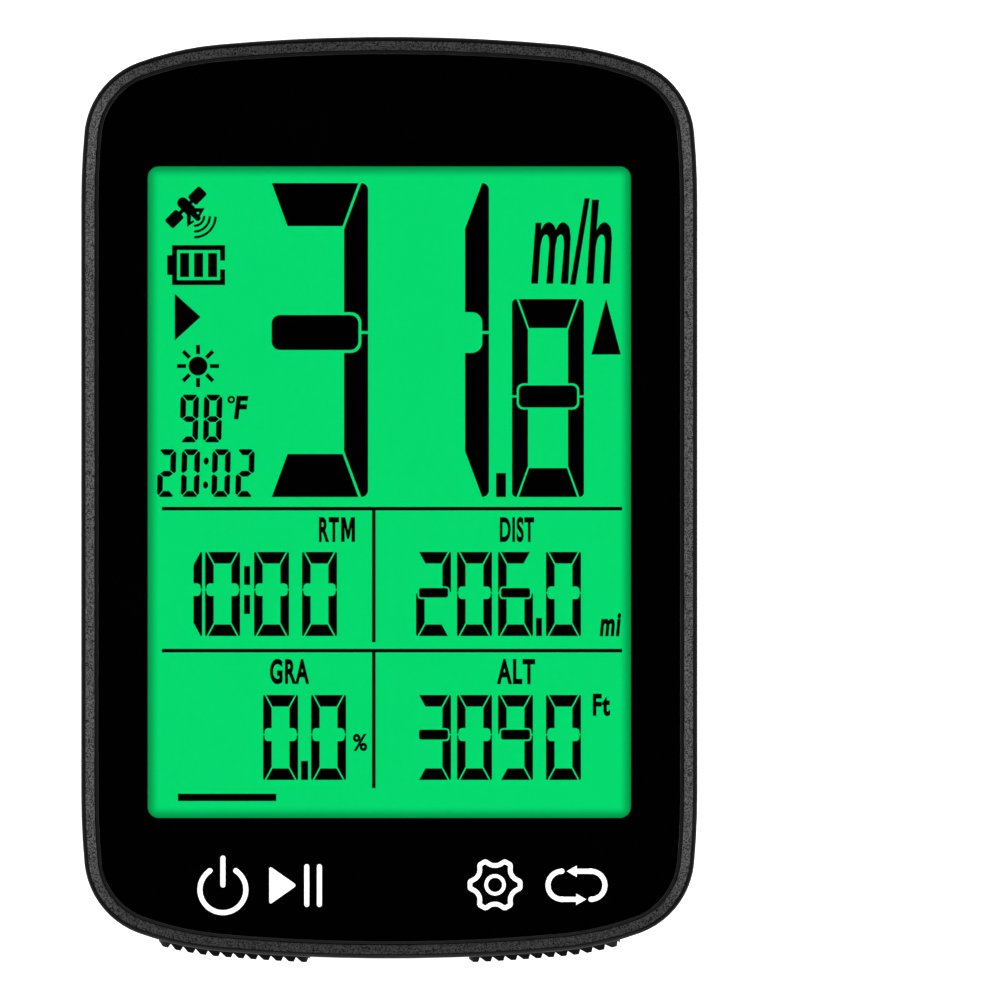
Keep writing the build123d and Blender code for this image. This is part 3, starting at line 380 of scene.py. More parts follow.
# The segments that each figure leaves out.
UNLIT_SEGMENTS = {
    "0": "middle", "1": "top upper_left middle lower_left bottom", "2": "upper_left lower_right",
    "3": "upper_left lower_left", "4": "top lower_left bottom", "5": "upper_right lower_left",
    "6": "upper_right", "7": "upper_left middle lower_left bottom", "8": "", "9": "lower_left",
}


def tall_segments(shape):
    """Corners and roundings of a tall figure, whose middle bar bites into the uprights."""
    s = shape
    slope, inset = s.corner + s.gap, s.stroke + s.gap / 2
    bite = s.middle / 2 + s.gap
    notch = min(s.stroke - s.neck, bite) * 0.6
    parts = {}
    for bar, half, end, sign in (("top", "upper", s.height, -1), ("bottom", "lower", 0, 1)):
        shelf = end + sign * s.bar
        parts[bar] = (
            [(slope, end), (s.width - slope, end), (s.width - inset, shelf), (inset, shelf)], {},
        )
        near = s.split - sign * s.gap / 2
        for side, mirror in (("left", False), ("right", True)):
            corners = [
                (s.stroke, end + sign * (s.bar + s.gap)), (s.corner, end), (0, end), (0, near),
                (s.neck, near), (s.neck, s.split - sign * bite), (s.stroke, s.split - sign * bite),
            ]
            if mirror:
                corners = [(s.width - x, y) for x, y in corners]
            parts[f"{half}_{side}"] = (corners, {2: s.corner * 0.98, 5: notch})
    reach = s.neck + s.gap
    low, high = s.split - s.middle / 2, s.split + s.middle / 2
    parts["middle"] = (
        [(reach, low), (s.width - reach, low), (s.width - reach, high), (reach, high)],
        {corner: s.middle * 0.24 for corner in range(4)},
    )
    return parts


def slim_segments(shape):
    """Corners of a small leaning figure with cut corners."""
    s = shape
    cut, gap, width = s.corner, s.gap, s.width
    inset, bevel = s.stroke + gap, cut * 0.6 + gap
    parts = {}
    for bar, half, end, sign in (("top", "upper", s.height, -1), ("bottom", "lower", 0, 1)):
        shelf, shoulder = end + sign * s.bar, end + sign * cut * 0.45
        parts[bar] = [
            (cut + gap, end), (width - cut - gap, end), (width - bevel, shoulder),
            (width - inset, shelf), (inset, shelf), (bevel, shoulder),
        ]
        for side, mirror in (("left", False), ("right", True)):
            corners = [
                (s.stroke, end + sign * (s.bar + gap)),
                (cut * 0.75, end + sign * (cut * 0.5 + gap)),
                (0, end + sign * cut * 1.3),
                (0, s.split - sign * (cut * 0.5 + gap)),
                (cut * 0.75, s.split - sign * gap * 0.8),
                (s.stroke, s.split - sign * (s.middle / 2 + gap * 0.6)),
            ]
            parts[f"{half}_{side}"] = [(width - x, y) for x, y in corners] if mirror else corners
    point, low, high = cut * 0.8 + gap, s.split - s.middle / 2, s.split + s.middle / 2
    parts["middle"] = [
        (point, s.split), (inset, low), (width - inset, low),
        (width - point, s.split), (width - inset, high), (inset, high),
    ]
    return {
        name: ([(x + y * SLIM_LEAN, y) for x, y in corners], {}) for name, corners in parts.items()
    }


def model_figure(name, shape, slim=False):
    """The seven segments of one figure, with its lower left corner at the origin."""
    segments = {}
    drawn = slim_segments(shape) if slim else tall_segments(shape)
    for part, (corners, rounded) in drawn.items():
        segments[part] = open_piece(f"{name}_{part}")
        add_outline(segments[part], corners, rounded)
        bpy.ops.object.mode_set(mode="OBJECT")
    return segments


def place_figures(name, shape, slim, figures, columns, row):
    """Models one figure and copies its lit segments to each cell of a field."""
    segments = model_figure(name, shape, slim)
    placed = []
    for figure, column in zip(figures, columns):
        unlit = UNLIT_SEGMENTS[figure].split()
        select_pieces([piece for part, piece in segments.items() if part not in unlit])
        bpy.ops.object.duplicate(linked=False)
        bpy.ops.transform.translate(value=(column * MM, row * MM, 0))
        placed += bpy.context.selected_objects
    select_pieces(list(segments.values()))
    bpy.ops.object.delete()
    return placed


def add_text(words, left, right, bottom, top, slant, weight):
    """Lettering fitted between four sides in millimetres, as a flat mesh."""
    deselect_all()
    bpy.ops.object.text_add()
    text = bpy.context.object.data
    text.body = words
    text.shear = slant
    text.offset = weight
    text.space_character = 1.12
    text.resolution_u = 6
    bpy.ops.object.convert(target="MESH")
    label = bpy.context.object
    across = [vertex.co.x for vertex in label.data.vertices]
    up = [vertex.co.y for vertex in label.data.vertices]
    stretch_x = (right - left) * MM / (max(across) - min(across))
    stretch_y = (top - bottom) * MM / (max(up) - min(up))
    bpy.ops.transform.resize(value=(stretch_x, stretch_y, 1), center_override=(0, 0, 0))
    move = (left * MM - min(across) * stretch_x, bottom * MM - min(up) * stretch_y, SEGMENT_LEVEL)
    bpy.ops.transform.translate(value=move)
    bpy.ops.object.transform_apply(location=True, rotation=True, scale=True)
    return label


# ---- Nodes ----


def feed(node, **values):
    """Sets or links a node's inputs, named in small letters with _ for a space."""
    sockets = {socket.name.lower().replace(" ", "_"): socket for socket in node.inputs}
    for name, value in values.items():
        if isinstance(value, NodeSocket):
            node.id_data.links.new(value, sockets[name])
        else:
            sockets[name].default_value = value


def add_node(kind, inputs, **settings):
    """A node beside those that feed it, with values or sockets on its inputs."""
    tree = next(value.id_data for value in inputs.values() if isinstance(value, NodeSocket))
    made = tree.nodes.new(kind)
    for name, value in settings.items():
        setattr(made, name, value)
    for name, value in inputs.items():
        if isinstance(value, NodeSocket):
            tree.links.new(value, made.inputs[name])
        else:
            made.inputs[name].default_value = value
    return made


def mix_colours(factor, first, second):
    inputs = {
        socket: colour if isinstance(colour, NodeSocket) else (*colour[:3], 1)
        for socket, colour in ((6, first), (7, second))
    }
    return add_node("ShaderNodeMix", {0: factor, **inputs}, data_type="RGBA").outputs[2]


def mix_values(factor, first, second):
    return add_node("ShaderNodeMix", {0: factor, 2: first, 3: second}).outputs[0]


def calculate(operation, first, second=0.0):
    return add_node("ShaderNodeMath", {0: first, 1: second}, operation=operation).outputs[0]


def multiply(first, second):
    return calculate("MULTIPLY", first, second)


def add(first, second):
    return calculate("ADD", first, second)


def spread(value, low, high, to_low=0.0, to_high=1.0, smooth=False):
    """Maps a value from one range to another."""
    settings = {"interpolation_type": "SMOOTHSTEP"} if smooth else {}
    inputs = {
        "Value": value, "From Min": low, "From Max": high, "To Min": to_low, "To Max": to_high,
    }
    return add_node("ShaderNodeMapRange", inputs, **settings).outputs["Result"]


def vary(value, ends):
    """Maps a value from 0 to 1 to the range between two ends."""
    return spread(value, 0, 1, *ends)


def texture(kind, vector, scale, **more):
    """The outputs of a Noise or Voronoi texture."""
    inputs = {"Vector": vector, "Scale": scale}
    inputs.update((name.title(), value) for name, value in more.items())
    return add_node("ShaderNodeTex" + kind, inputs).outputs


def noise(vector, scale, detail, **more):
    return texture("Noise", vector, scale, detail=detail, **more)["Fac"]


def parts_of(vector):
    return add_node("ShaderNodeSeparateXYZ", {"Vector": vector}).outputs


def grey(tone):
    return (tone, tone, tone)


def tint(colour, share):
    return [tone * share for tone in colour]


# ---- Shared shader effects ----


def open_group(name, sizes, results):
    """A group that takes a vector and some sizes, and puts out values."""
    group = bpy.data.node_groups.new(name, "ShaderNodeTree")
    group.interface.new_socket(name="Vector", in_out="INPUT", socket_type="NodeSocketVector")
    for label, size in sizes.items():
        socket = group.interface.new_socket(
            name=label, in_out="INPUT", socket_type="NodeSocketFloat"
        )
        socket.default_value = size
    for label in results:
        group.interface.new_socket(name=label, in_out="OUTPUT", socket_type="NodeSocketFloat")
    given = group.nodes.new("NodeGroupInput").outputs
    return group, given, group.nodes.new("NodeGroupOutput")


def moulded_grain(name):
    """Even fine texture: a height for bump and a slow tone for colour."""
    group, given, result = open_group(name, {"Size": 0.0002}, ("Height", "Tone"))
    scale = calculate("DIVIDE", 1.0, given["Size"])
    fine = noise(given["Vector"], scale, 3.0, roughness=0.62)
    pits = texture("Voronoi", given["Vector"], multiply(scale, 0.8))["Distance"]
    broad = noise(given["Vector"], multiply(scale, 0.04), 4.0)
    tone = add(multiply(fine, 0.45), multiply(broad, 0.55))
    feed(result, height=add(fine, multiply(pits, 0.5)), tone=spread(tone, 0.3, 0.7))
    return group


def blasted_speckle(name):
    """Sharp light and dark grains of a sandblasted face."""
    group, given, result = open_group(name, {"Size": 0.00013}, ("Height", "Speckle"))
    scale = calculate("DIVIDE", 1.0, given["Size"])
    grains = texture("Voronoi", given["Vector"], scale)
    shades = add_node("ShaderNodeSeparateColor", {"Color": grains["Color"]}).outputs
    fine = noise(given["Vector"], multiply(scale, 1.7), 2.0)
    blend = add(multiply(shades["Red"], 0.6), multiply(fine, 0.5))
    height = calculate("SUBTRACT", blend, grains["Distance"])
    feed(result, height=height, speckle=spread(blend, 0.34, 0.72))
    return group


def handling_marks(name):
    """Faint smudges and hairline scuffs from handling."""
    group, given, result = open_group(name, {"Size": 0.006}, ("Smudges", "Scuffs"))
    scale = calculate("DIVIDE", 1.0, given["Size"])
    cloudy = noise(given["Vector"], scale, 4.0, roughness=0.55, distortion=0.6)
    turned = add_node(
        "ShaderNodeMapping",
        {"Vector": given["Vector"], "Rotation": (0.3, 0.2, 0.7), "Scale": (0.25, 9.0, 1.0)},
    )
    lines = noise(turned.outputs["Vector"], scale, 3.0)
    feed(
        result, smudges=spread(cloudy, 0.36, 0.66, smooth=True), scuffs=spread(lines, 0.66, 0.72)
    )
    return group


def drawn_lines(name):
    """Long thin lines left by rolling, drawing or turning metal."""
    group, given, result = open_group(name, {"Size": 0.0001}, ("Height", "Tone"))
    scale = calculate("DIVIDE", 1.0, given["Size"])
    stretched = add_node(
        "ShaderNodeMapping", {"Vector": given["Vector"], "Scale": (0.03, 1.0, 1.0)}
    )
    lines = noise(stretched.outputs["Vector"], scale, 2.0)
    feed(result, height=lines, tone=spread(lines, 0.3, 0.7))
    return group


def window_depth(name):
    """Distance in from the edge of the display's window, in metres."""
    group, given, result = open_group(
        name,
        {
            "Half Width": WINDOW_HALF_WIDTH * MM, "Half Height": WINDOW_HALF_HEIGHT * MM,
            "Middle": WINDOW_MIDDLE_Y * MM, "Corner": WINDOW_CORNER * MM,
        },
        ("Depth",),
    )
    place, corner = parts_of(given["Vector"]), given["Corner"]
    across = calculate("ABSOLUTE", place["X"])
    up = calculate("ABSOLUTE", calculate("SUBTRACT", place["Y"], given["Middle"]))
    past = [
        calculate("SUBTRACT", reach, calculate("SUBTRACT", half, corner))
        for reach, half in ((across, given["Half Width"]), (up, given["Half Height"]))
    ]
    out_x, out_y = (calculate("MAXIMUM", value, 0.0) for value in past)
    outside = calculate("SQRT", add(multiply(out_x, out_x), multiply(out_y, out_y)))
    inside = calculate("MINIMUM", calculate("MAXIMUM", *past), 0.0)
    feed(result, depth=calculate("SUBTRACT", corner, add(outside, inside)))
    return group


def add_effect(build, vector, **sizes):
    """Places an effect, which is built once, and gives its outputs."""
    name = build.__name__.replace("_", " ").title()
    made = vector.id_data.nodes.new("ShaderNodeGroup")
    made.node_tree = bpy.data.node_groups.get(name) or build(name)
    feed(made, vector=vector, **sizes)
    return made.outputs


# ---- Materials ----


def open_material(name):
    """A new material with its shader and its object coordinates."""
    material = bpy.data.materials.new(name)
    material.use_nodes = True
    nodes = material.node_tree.nodes
    return material, nodes["Principled BSDF"], nodes.new("ShaderNodeTexCoord").outputs["Object"]


def raise_bump(shader, height, distance):
    made = add_node("ShaderNodeBump", {"Height": height, "Distance": distance})
    feed(shader, normal=made.outputs["Normal"])


def grained(name, dark, light, grain, rough, depth=0.00002, scuffs=0, specular=0.5, marks=0.006):
    """A moulded or coated finish: grain, two tones, smudged roughness and faint scuffs."""
    material, shader, place = open_material(name)
    texture = add_effect(moulded_grain, place, size=grain)
    handled = add_effect(handling_marks, place, size=marks)
    colour = mix_colours(texture["Tone"], dark, light)
    if scuffs:
        scuffed = [min(1.0, tone * 3 + 0.02) for tone in light]
        colour = mix_colours(multiply(handled["Scuffs"], scuffs), colour, scuffed)
    feed(
        shader, base_color=colour, roughness=vary(handled["Smudges"], rough),
        specular_ior_level=specular,
    )
    raise_bump(shader, texture["Height"], depth)
    return material


def drawn_metal(name, dark, light, rough, line=0.00008):
    """Rolled or turned metal with fine lines."""
    material, shader, place = open_material(name)
    lines = add_effect(drawn_lines, place, size=line)
    handled = add_effect(handling_marks, place, size=0.002)
    feed(
        shader, base_color=mix_colours(lines["Tone"], dark, light),
        roughness=vary(handled["Smudges"], rough), metallic=1.0,
    )
    raise_bump(shader, lines["Height"], 0.000004)
    return material


def case_material(look):
    """Smooth black moulding whose sloping rim is sandblasted."""
    material, shader, place = open_material("Blasted Black Housing")
    facing, height = (parts_of(socket)["Z"] for socket in (place.node.outputs["Normal"], place))
    upward = spread(facing, 0.945, 0.962, smooth=True)
    at_rim = spread(height, CASE_TOP - 0.5 * MM, CASE_TOP - 0.4 * MM)
    walls = spread(height, CASE_TOP - 1.4 * MM, CASE_TOP - 2.2 * MM, smooth=True)
    rim = multiply(upward, at_rim)
    speckle = add_effect(blasted_speckle, place, size=look.grain_size)
    grain = add_effect(moulded_grain, place, size=0.00025)
    handled = add_effect(handling_marks, place, size=0.007)
    smooth = mix_colours(grain["Tone"], tint(look.body_colour, 0.75), tint(look.body_colour, 1.4))
    blasted = mix_colours(speckle["Speckle"], tint(look.rim_colour, 0.06), look.rim_colour)
    satin = vary(handled["Smudges"], (0.44, 0.52))
    feed(
        shader, base_color=mix_colours(rim, smooth, blasted), metallic=rim,
        roughness=mix_values(rim, satin, 0.38), specular_ior_level=0.08,
        coat_weight=multiply(walls, 0.55), coat_roughness=0.32,
    )
    coarse = multiply(multiply(speckle["Height"], rim), 1.3)
    raise_bump(shader, add(coarse, multiply(grain["Height"], 0.5)), 0.000012)
    return material


def lens_material():
    """Clear polished cover with the faintest smudges and a ground edge, coloured black as painted
    shade.
    """
    material, shader, place = open_material("Clear Cover")
    smudges = add_effect(handling_marks, place, size=0.012)["Smudges"]
    facing = calculate("ABSOLUTE", parts_of(place.node.outputs["Normal"])["Z"])
    ground_and_shaded_edge = spread(facing, 0.999, 0.99)
    clear = mix_colours(smudges, (0.985, 0.99, 0.99), grey(1.0))
    feed(
        # Painted shade: the edge is coloured black so that it passes no light; its full roughness
        # is the frosted ground edge.
        shader, base_color=mix_colours(ground_and_shaded_edge, clear, grey(0.0)),
        roughness=mix_values(ground_and_shaded_edge, vary(smudges, (0.0, 0.01)), 1.0),
        transmission_weight=1.0, ior=1.49, specular_ior_level=0.35,
    )
    return material


def display_material(look):
    """Lit green background, with soft painted shade along the window's edge."""
    material, shader, place = open_material("Lit Display")
    window = add_effect(window_depth, place)
    # Painted shade: the emission and base colour darken towards the window's edge.
    shade = spread(window["Depth"], -0.00005, look.shade_width, smooth=True)
    mottle = add_effect(moulded_grain, place, size=0.0009)
    lit = mix_colours(mottle["Tone"], tint(look.lit_colour, 0.985), look.lit_colour)
    feed(
        shader, emission_color=mix_colours(shade, look.edge_colour, lit),
        emission_strength=look.glow, roughness=0.3, specular_ior_level=0.1,
        base_color=mix_colours(shade, (0.0, 0.02, 0.004), (0.0, 0.06, 0.012)),
    )
    return material


def segment_material():
    """Dark liquid-crystal segments with a trace of mottle, made once."""
    if "Dark Segments" in bpy.data.materials:
        return bpy.data.materials["Dark Segments"]
    material, shader, place = open_material("Dark Segments")
    tone = add_effect(moulded_grain, place, size=0.0005)["Tone"]
    feed(
        shader, roughness=vary(tone, (0.22, 0.28)), specular_ior_level=0.02,
        base_color=mix_colours(tone, (0.00005, 0.00006, 0.00005), (0.0002, 0.00024, 0.0002)),
    )
    return material


def print_material(look):
    """White screen-printed ink seen through the cover, with a painted glow."""
    material, shader, place = open_material("White Print")
    tone = add_effect(moulded_grain, place, size=0.0002)["Tone"]
    printed_white_and_glow = mix_colours(tone, tint(look.colour, 0.97), look.colour)
    feed(
        # Painted light: the printed ink glows, though no lamp lights it.
        shader, base_color=printed_white_and_glow, emission_color=printed_white_and_glow, emission_strength=1.0,
        roughness=vary(tone, (0.5, 0.6)),
    )
    return material


def board_material():
    """Green solder mask over faint tracks, with tinned pads."""
    material, shader, place = open_material("Circuit Board")
    tracks = add_node(
        "ShaderNodeTexBrick",
        {"Vector": place, "Scale": 320.0, "Mortar Size": 0.03, "Color1": (0, 0, 0, 1),
         "Color2": (0.12, 0.12, 0.12, 1), "Mortar": (1, 1, 1, 1)},
    ).outputs
    pads = texture("Voronoi", place, 460.0)
    pad = spread(pads["Distance"], 0.16, 0.13)
    tone = add_effect(moulded_grain, place, size=0.0003)["Tone"]
    mask = mix_colours(tone, (0.008, 0.095, 0.035), (0.014, 0.14, 0.055))
    lifted = mix_colours(tracks["Color"], mask, (0.03, 0.22, 0.09))
    feed(
        shader, base_color=mix_colours(pad, lifted, (0.6, 0.5, 0.28)), metallic=pad,
        roughness=vary(tone, (0.3, 0.42)),
    )
    raise_bump(shader, tracks["Fac"], 0.00001)
    return material


def film_material():
    """Amber polyimide film with copper conductors along it."""
    material, shader, place = open_material("Amber Film")
    lines = add_node(
        "ShaderNodeTexWave", {"Vector": place, "Scale": 420.0, "Distortion": 0.0},
        wave_type="BANDS", bands_direction="X",
    )
    line = spread(lines.outputs["Fac"], 0.45, 0.6)
    smudges = add_effect(handling_marks, place, size=0.003)["Smudges"]
    film = mix_colours(smudges, (0.42, 0.17, 0.03), (0.55, 0.25, 0.05))
    feed(
        shader, base_color=mix_colours(line, film, (0.62, 0.33, 0.12)),
        roughness=vary(smudges, (0.22, 0.34)),
    )
    raise_bump(shader, line, 0.000008)
    return material


def foil_material():
    """Satin pouch foil with soft creases, with painted shade in their hollows and painted light on
    their ridges.
    """
    material, shader, place = open_material("Pouch Foil")
    creases = noise(place, 260.0, 5.0, roughness=0.6, distortion=1.2)
    # Painted shade and light: the colour follows the creases' height, darker in the hollows and
    # lighter on the ridges.
    tone = spread(creases, 0.3, 0.7)
    feed(
        shader, base_color=mix_colours(tone, (0.52, 0.53, 0.55), (0.72, 0.73, 0.75)),
        roughness=vary(tone, (0.28, 0.42)), metallic=1.0,
    )
    raise_bump(shader, creases, 0.0001)
    return material


def diffusing_material(name, dark, light, rough):
    """Milky film or moulding that glows a little from within."""
    material = grained(name, dark, light, 0.0004, rough, depth=0.000004)
    shader = material.node_tree.nodes["Principled BSDF"]
    feed(shader, subsurface_weight=0.2, subsurface_scale=0.0004)
    return material


def guide_material():
    """Clear acrylic light guide with a printed dot pattern."""
    material, shader, place = open_material("Light Guide")
    dots = texture("Voronoi", place, 1400.0, randomness=0.0)
    dot = spread(dots["Distance"], 0.3, 0.26)
    feed(
        shader, base_color=mix_colours(dot, (0.93, 0.97, 0.96), grey(1.0)),
        roughness=vary(dot, (0.02, 0.5)), transmission_weight=0.9, ior=1.49,
    )
    return material


def paint_nodes(material, *names):
    """Gives CAD pieces a finished material."""
    for name in names:
        for slot in frame["nodes"][name].material_slots:
            slot.material = material


# ---- Operators ----


class SetStage(Operator):
    """Adds the pale floor, the soft studio lights and the camera straight above"""

    bl_idname = "computer.set_stage"
    bl_label = "Stage"

    def execute(self, context):
        look = context.scene.computer_settings.stage
        self.lay_floor(look)
        self.hang_lights(look)
        self.paint_room(context.scene)
        self.stand_camera(context.scene, look)
        return {"FINISHED"}

    def lay_floor(self, look):
        """A floor that gives off a little light and is clear from below."""
        deselect_all()
        bpy.ops.mesh.primitive_plane_add(size=FLOOR_SIZE, location=(0, 0, FLOOR_LEVEL))
        floor = bpy.context.object
        floor.name = floor.data.name = "floor"
        material, shader, place = open_material("Pale Floor")
        tone = add_effect(moulded_grain, place, size=0.002)["Tone"]
        pale = mix_colours(tone, tint(look.floor_colour, 0.99), look.floor_colour)
        feed(
            shader, base_color=pale, emission_color=pale, emission_strength=1.1,
            roughness=0.8, specular_ior_level=0.1,
        )
        nodes = material.node_tree.nodes
        below = nodes.new("ShaderNodeNewGeometry").outputs["Backfacing"]
        clear = nodes.new("ShaderNodeBsdfTransparent").outputs["BSDF"]
        seen = add_node("ShaderNodeMixShader", {0: below, 1: shader.outputs["BSDF"], 2: clear})
        feed(nodes["Material Output"], surface=seen.outputs[0])
        floor.data.materials.append(material)

    def hang_lights(self, look):
        """A softbox high on each side, and a low one at the key end."""
        for name, spot, size, power in (
            ("left softbox", Vector((-0.49, 0.08, 0.66)), (0.42, 0.62), look.side_light),
            ("right softbox", Vector((0.49, 0.08, 0.66)), (0.42, 0.62), look.side_light),
            ("key end softbox", Vector((0, -0.80, 0.16)), (0.50, 0.18), look.front_light),
        ):
            aim = (Vector((0, 0, LENS_TOP)) - spot).to_track_quat("-Z", "Y").to_euler()
            bpy.ops.object.light_add(type="AREA", location=spot, rotation=aim)
            light = bpy.context.object
            light.name = light.data.name = name
            light.data.shape = "RECTANGLE"
            light.data.size, light.data.size_y = size
            light.data.energy = power

    def paint_room(self, scene):
        """Walls that are bright at the horizon and dark above."""
        world = scene.world = bpy.data.worlds.new("Studio Room")
        world.use_nodes = True
        nodes = world.node_tree.nodes
        rise = parts_of(nodes.new("ShaderNodeTexCoord").outputs["Generated"])["Z"]
        walls = add_node("ShaderNodeValToRGB", {"Fac": rise})
        tones = walls.color_ramp.elements
        tones[0].position, tones[0].color = 0.0, (*grey(HORIZON_TONE), 1)
        tones[1].position, tones[1].color = TOP_RISE, (*grey(TOP_TONE), 1)
        for position, tone in WALL_TONES:
            tones.new(position).color = (*grey(tone), 1)
        feed(nodes["Background"], color=walls.outputs["Color"], strength=1.0)

    def stand_camera(self, scene, look):
        """A long lens straight above, so that the sides stay upright."""
        distance = look.view_width * look.camera_lens / SENSOR_WIDTH
        bpy.ops.object.camera_add(location=(*VIEW_MIDDLE, LENS_TOP + distance), rotation=(0, 0, 0))
        camera = scene.camera = bpy.context.object
        camera.name = camera.data.name = "camera"
        camera.data.lens = look.camera_lens
        camera.data.sensor_width = SENSOR_WIDTH
        camera.data.clip_start = 0.1
        camera.data.clip_end = 20.0
        scene.view_settings.view_transform = "Standard"
        scene.view_settings.look = "None"


class FinishCase(Operator):
    """Finishes the case halves, their seal, screws and the charging port cover"""

    bl_idname = "computer.finish_case"
    bl_label = "Case"

    def execute(self, context):
        paint_nodes(case_material(context.scene.computer_settings.case), "front_case", "back_case")
        rubber = grained(
            "Seal Rubber", grey(0.006), grey(0.012), 0.00018, (0.5, 0.62), specular=0.3
        )
        paint_nodes(rubber, "case_seal", "usb_cover", "start_button_gasket", "menu_button_gasket")
        dark = drawn_metal("Blackened Steel", (0.02, 0.02, 0.022), (0.07, 0.07, 0.075), (0.3, 0.42))
        paint_nodes(dark, "case_screws", "boss_screws")
        bright = drawn_metal("Bright Steel", grey(0.5), grey(0.68), (0.2, 0.3))
        paint_nodes(bright, "cover_pin", "board_screws")
        return {"FINISHED"}


class FinishLens(Operator):
    """Finishes the clear cover and the black print behind it"""

    bl_idname = "computer.finish_lens"
    bl_label = "Lens"

    def execute(self, context):
        paint_nodes(lens_material(), "front_lens")
        border = grained(
            "Black Print", grey(0.00005), grey(0.0002), 0.0006, (0.2, 0.28),
            depth=0.000001, specular=0.03, marks=0.01,
        )
        paint_nodes(border, "lens_bond")
        return {"FINISHED"}


class FinishDisplay(Operator):
    """Finishes the lit display and the layers of its backlight"""

    bl_idname = "computer.finish_display"
    bl_label = "Display"

    def execute(self, context):
        paint_nodes(display_material(context.scene.computer_settings.screen), "lcd_panel")
        milky = diffusing_material("Milky Film", (0.80, 0.80, 0.79), (0.92, 0.92, 0.91), (0.4, 0.5))
        paint_nodes(milky, "backlight_diffuser", "backlight_reflector", "vent_membrane")
        paint_nodes(guide_material(), "backlight_guide")
        lamp = diffusing_material("Lamp Body", (0.85, 0.84, 0.7), (0.95, 0.94, 0.82), (0.25, 0.35))
        paint_nodes(lamp, "backlight_leds")
        moulding = grained(
            "Grey Moulding", (0.20, 0.20, 0.21), (0.27, 0.27, 0.28), 0.0002, (0.45, 0.55),
            scuffs=0.2,
        )
        paint_nodes(moulding, "lcd_frame")
        paint_nodes(film_material(), "lcd_flex")
        return {"FINISHED"}


class FinishElectronics(Operator):
    """Finishes the board, its chips and connectors, the battery and the charging port"""

    bl_idname = "computer.finish_electronics"
    bl_label = "Electronics"

    def execute(self, context):
        paint_nodes(board_material(), "main_board", "led_strip")
        paint_nodes(foil_material(), "battery")
        tin = drawn_metal(
            "Tinned Sheet", (0.52, 0.52, 0.50), (0.68, 0.68, 0.66), (0.26, 0.38), line=0.0002
        )
        paint_nodes(tin, "shield_can", "pressure_sensor", "usb_port")
        epoxy = grained("Moulded Epoxy", grey(0.018), (0.035, 0.035, 0.036), 0.00012, (0.5, 0.6))
        paint_nodes(epoxy, "processor", "board_chips", "buzzer", "start_switch", "menu_switch")
        ceramic = grained(
            "Aerial Ceramic", (0.46, 0.37, 0.27), (0.60, 0.50, 0.38), 0.00015, (0.55, 0.65)
        )
        paint_nodes(ceramic, "satellite_aerial")
        ivory = grained("Ivory Nylon", (0.7, 0.67, 0.58), (0.8, 0.77, 0.68), 0.00025, (0.4, 0.5))
        paint_nodes(ivory, "flex_connector", "battery_socket")
        paint_nodes(ivory, "start_switch_plunger", "menu_switch_plunger")
        foam = grained(
            "Foam Tape", (0.72, 0.72, 0.69), (0.88, 0.88, 0.85), 0.0003, (0.8, 0.9), depth=0.00008
        )
        paint_nodes(foam, "battery_tape")
        lead = grained(
            "Red Insulation", (0.38, 0.012, 0.012), (0.52, 0.02, 0.02), 0.0004, (0.35, 0.45),
            depth=0.000006,
        )
        paint_nodes(lead, "battery_leads")
        return {"FINISHED"}


class FinishButtons(Operator):
    """Finishes the two ribbed rubber buttons"""

    bl_idname = "computer.finish_buttons"
    bl_label = "Buttons"

    def execute(self, context):
        rubber = grained(
            "Ribbed Rubber", grey(0.0025), grey(0.006), 0.00012, (0.46, 0.58),
            depth=0.00001, specular=0.22, marks=0.002,
        )
        paint_nodes(rubber, "start_button", "menu_button")
        return {"FINISHED"}


class FinishMount(Operator):
    """Finishes the quarter-turn boss, the bar mount, its pad and the two bands"""

    bl_idname = "computer.finish_mount"
    bl_label = "Bar mount"

    def execute(self, context):
        look = context.scene.computer_settings.mount
        plastic, rubber = look.plastic_colour, look.rubber_colour
        nylon = grained(
            "Satin Nylon", tint(plastic, 0.8), tint(plastic, 1.5), 0.00022, (0.34, 0.46),
            depth=0.00001, scuffs=0.35, marks=0.004,
        )
        paint_nodes(nylon, "quarter_turn_boss", "mount_base")
        matt = grained(
            "Matt Pad Rubber", tint(rubber, 0.8), tint(rubber, 1.7), 0.00016, (0.62, 0.74),
            depth=0.000025, scuffs=0.15, specular=0.35,
        )
        paint_nodes(matt, "mount_pad")
        smooth = grained(
            "Band Rubber", tint(rubber, 0.5), rubber, 0.0003, (0.34, 0.44),
            depth=0.000004, specular=0.45, marks=0.003,
        )
        paint_nodes(smooth, "rubber_band_lower", "rubber_band_upper")
        return {"FINISHED"}


class AddFigures(Operator):
    """Adds the seven-segment figures of the display"""

    bl_idname = "computer.add_figures"
    bl_label = "Figures"

    def execute(self, context):
        shown = context.scene.computer_settings.readings
        fields = (
            ("speed", SPEED_SHAPE, False, shown.speed, (-11.56, -0.57), MAIN_ROW),
            ("tenths", TENTHS_SHAPE, False, shown.speed_tenths, (11.15,), MAIN_ROW),
            ("ride_time", TIME_SHAPE, False, shown.ride_time, (-16.74, -12.29, -7.93), FIELD_ROW),
            ("distance", DISTANCE_SHAPE, False, shown.distance, FIELD_COLUMNS, FIELD_ROW),
            ("gradient", LOWER_SHAPE, False, shown.gradient, (-11.47, -7.11), LAST_ROW),
            ("altitude", LOWER_SHAPE, False, shown.altitude, FIELD_COLUMNS, LAST_ROW),
            ("temperature", SLIM_SHAPE, True, shown.temperature, (-19.07, -16.94), WARMTH_ROW),
            ("clock", SLIM_SHAPE, True, shown.clock, (-21.13, -18.96, -16.18, -14.01), MAIN_ROW),
            ("leading_one", TIME_SHAPE, False, "1", (LEADING_ONE_RIGHT - TIME_SHAPE.width,),
             FIELD_ROW),
        )
        placed = [part for field in fields for part in place_figures(*field)]
        join_on_display("screen_figures", placed)
        return {"FINISHED"}


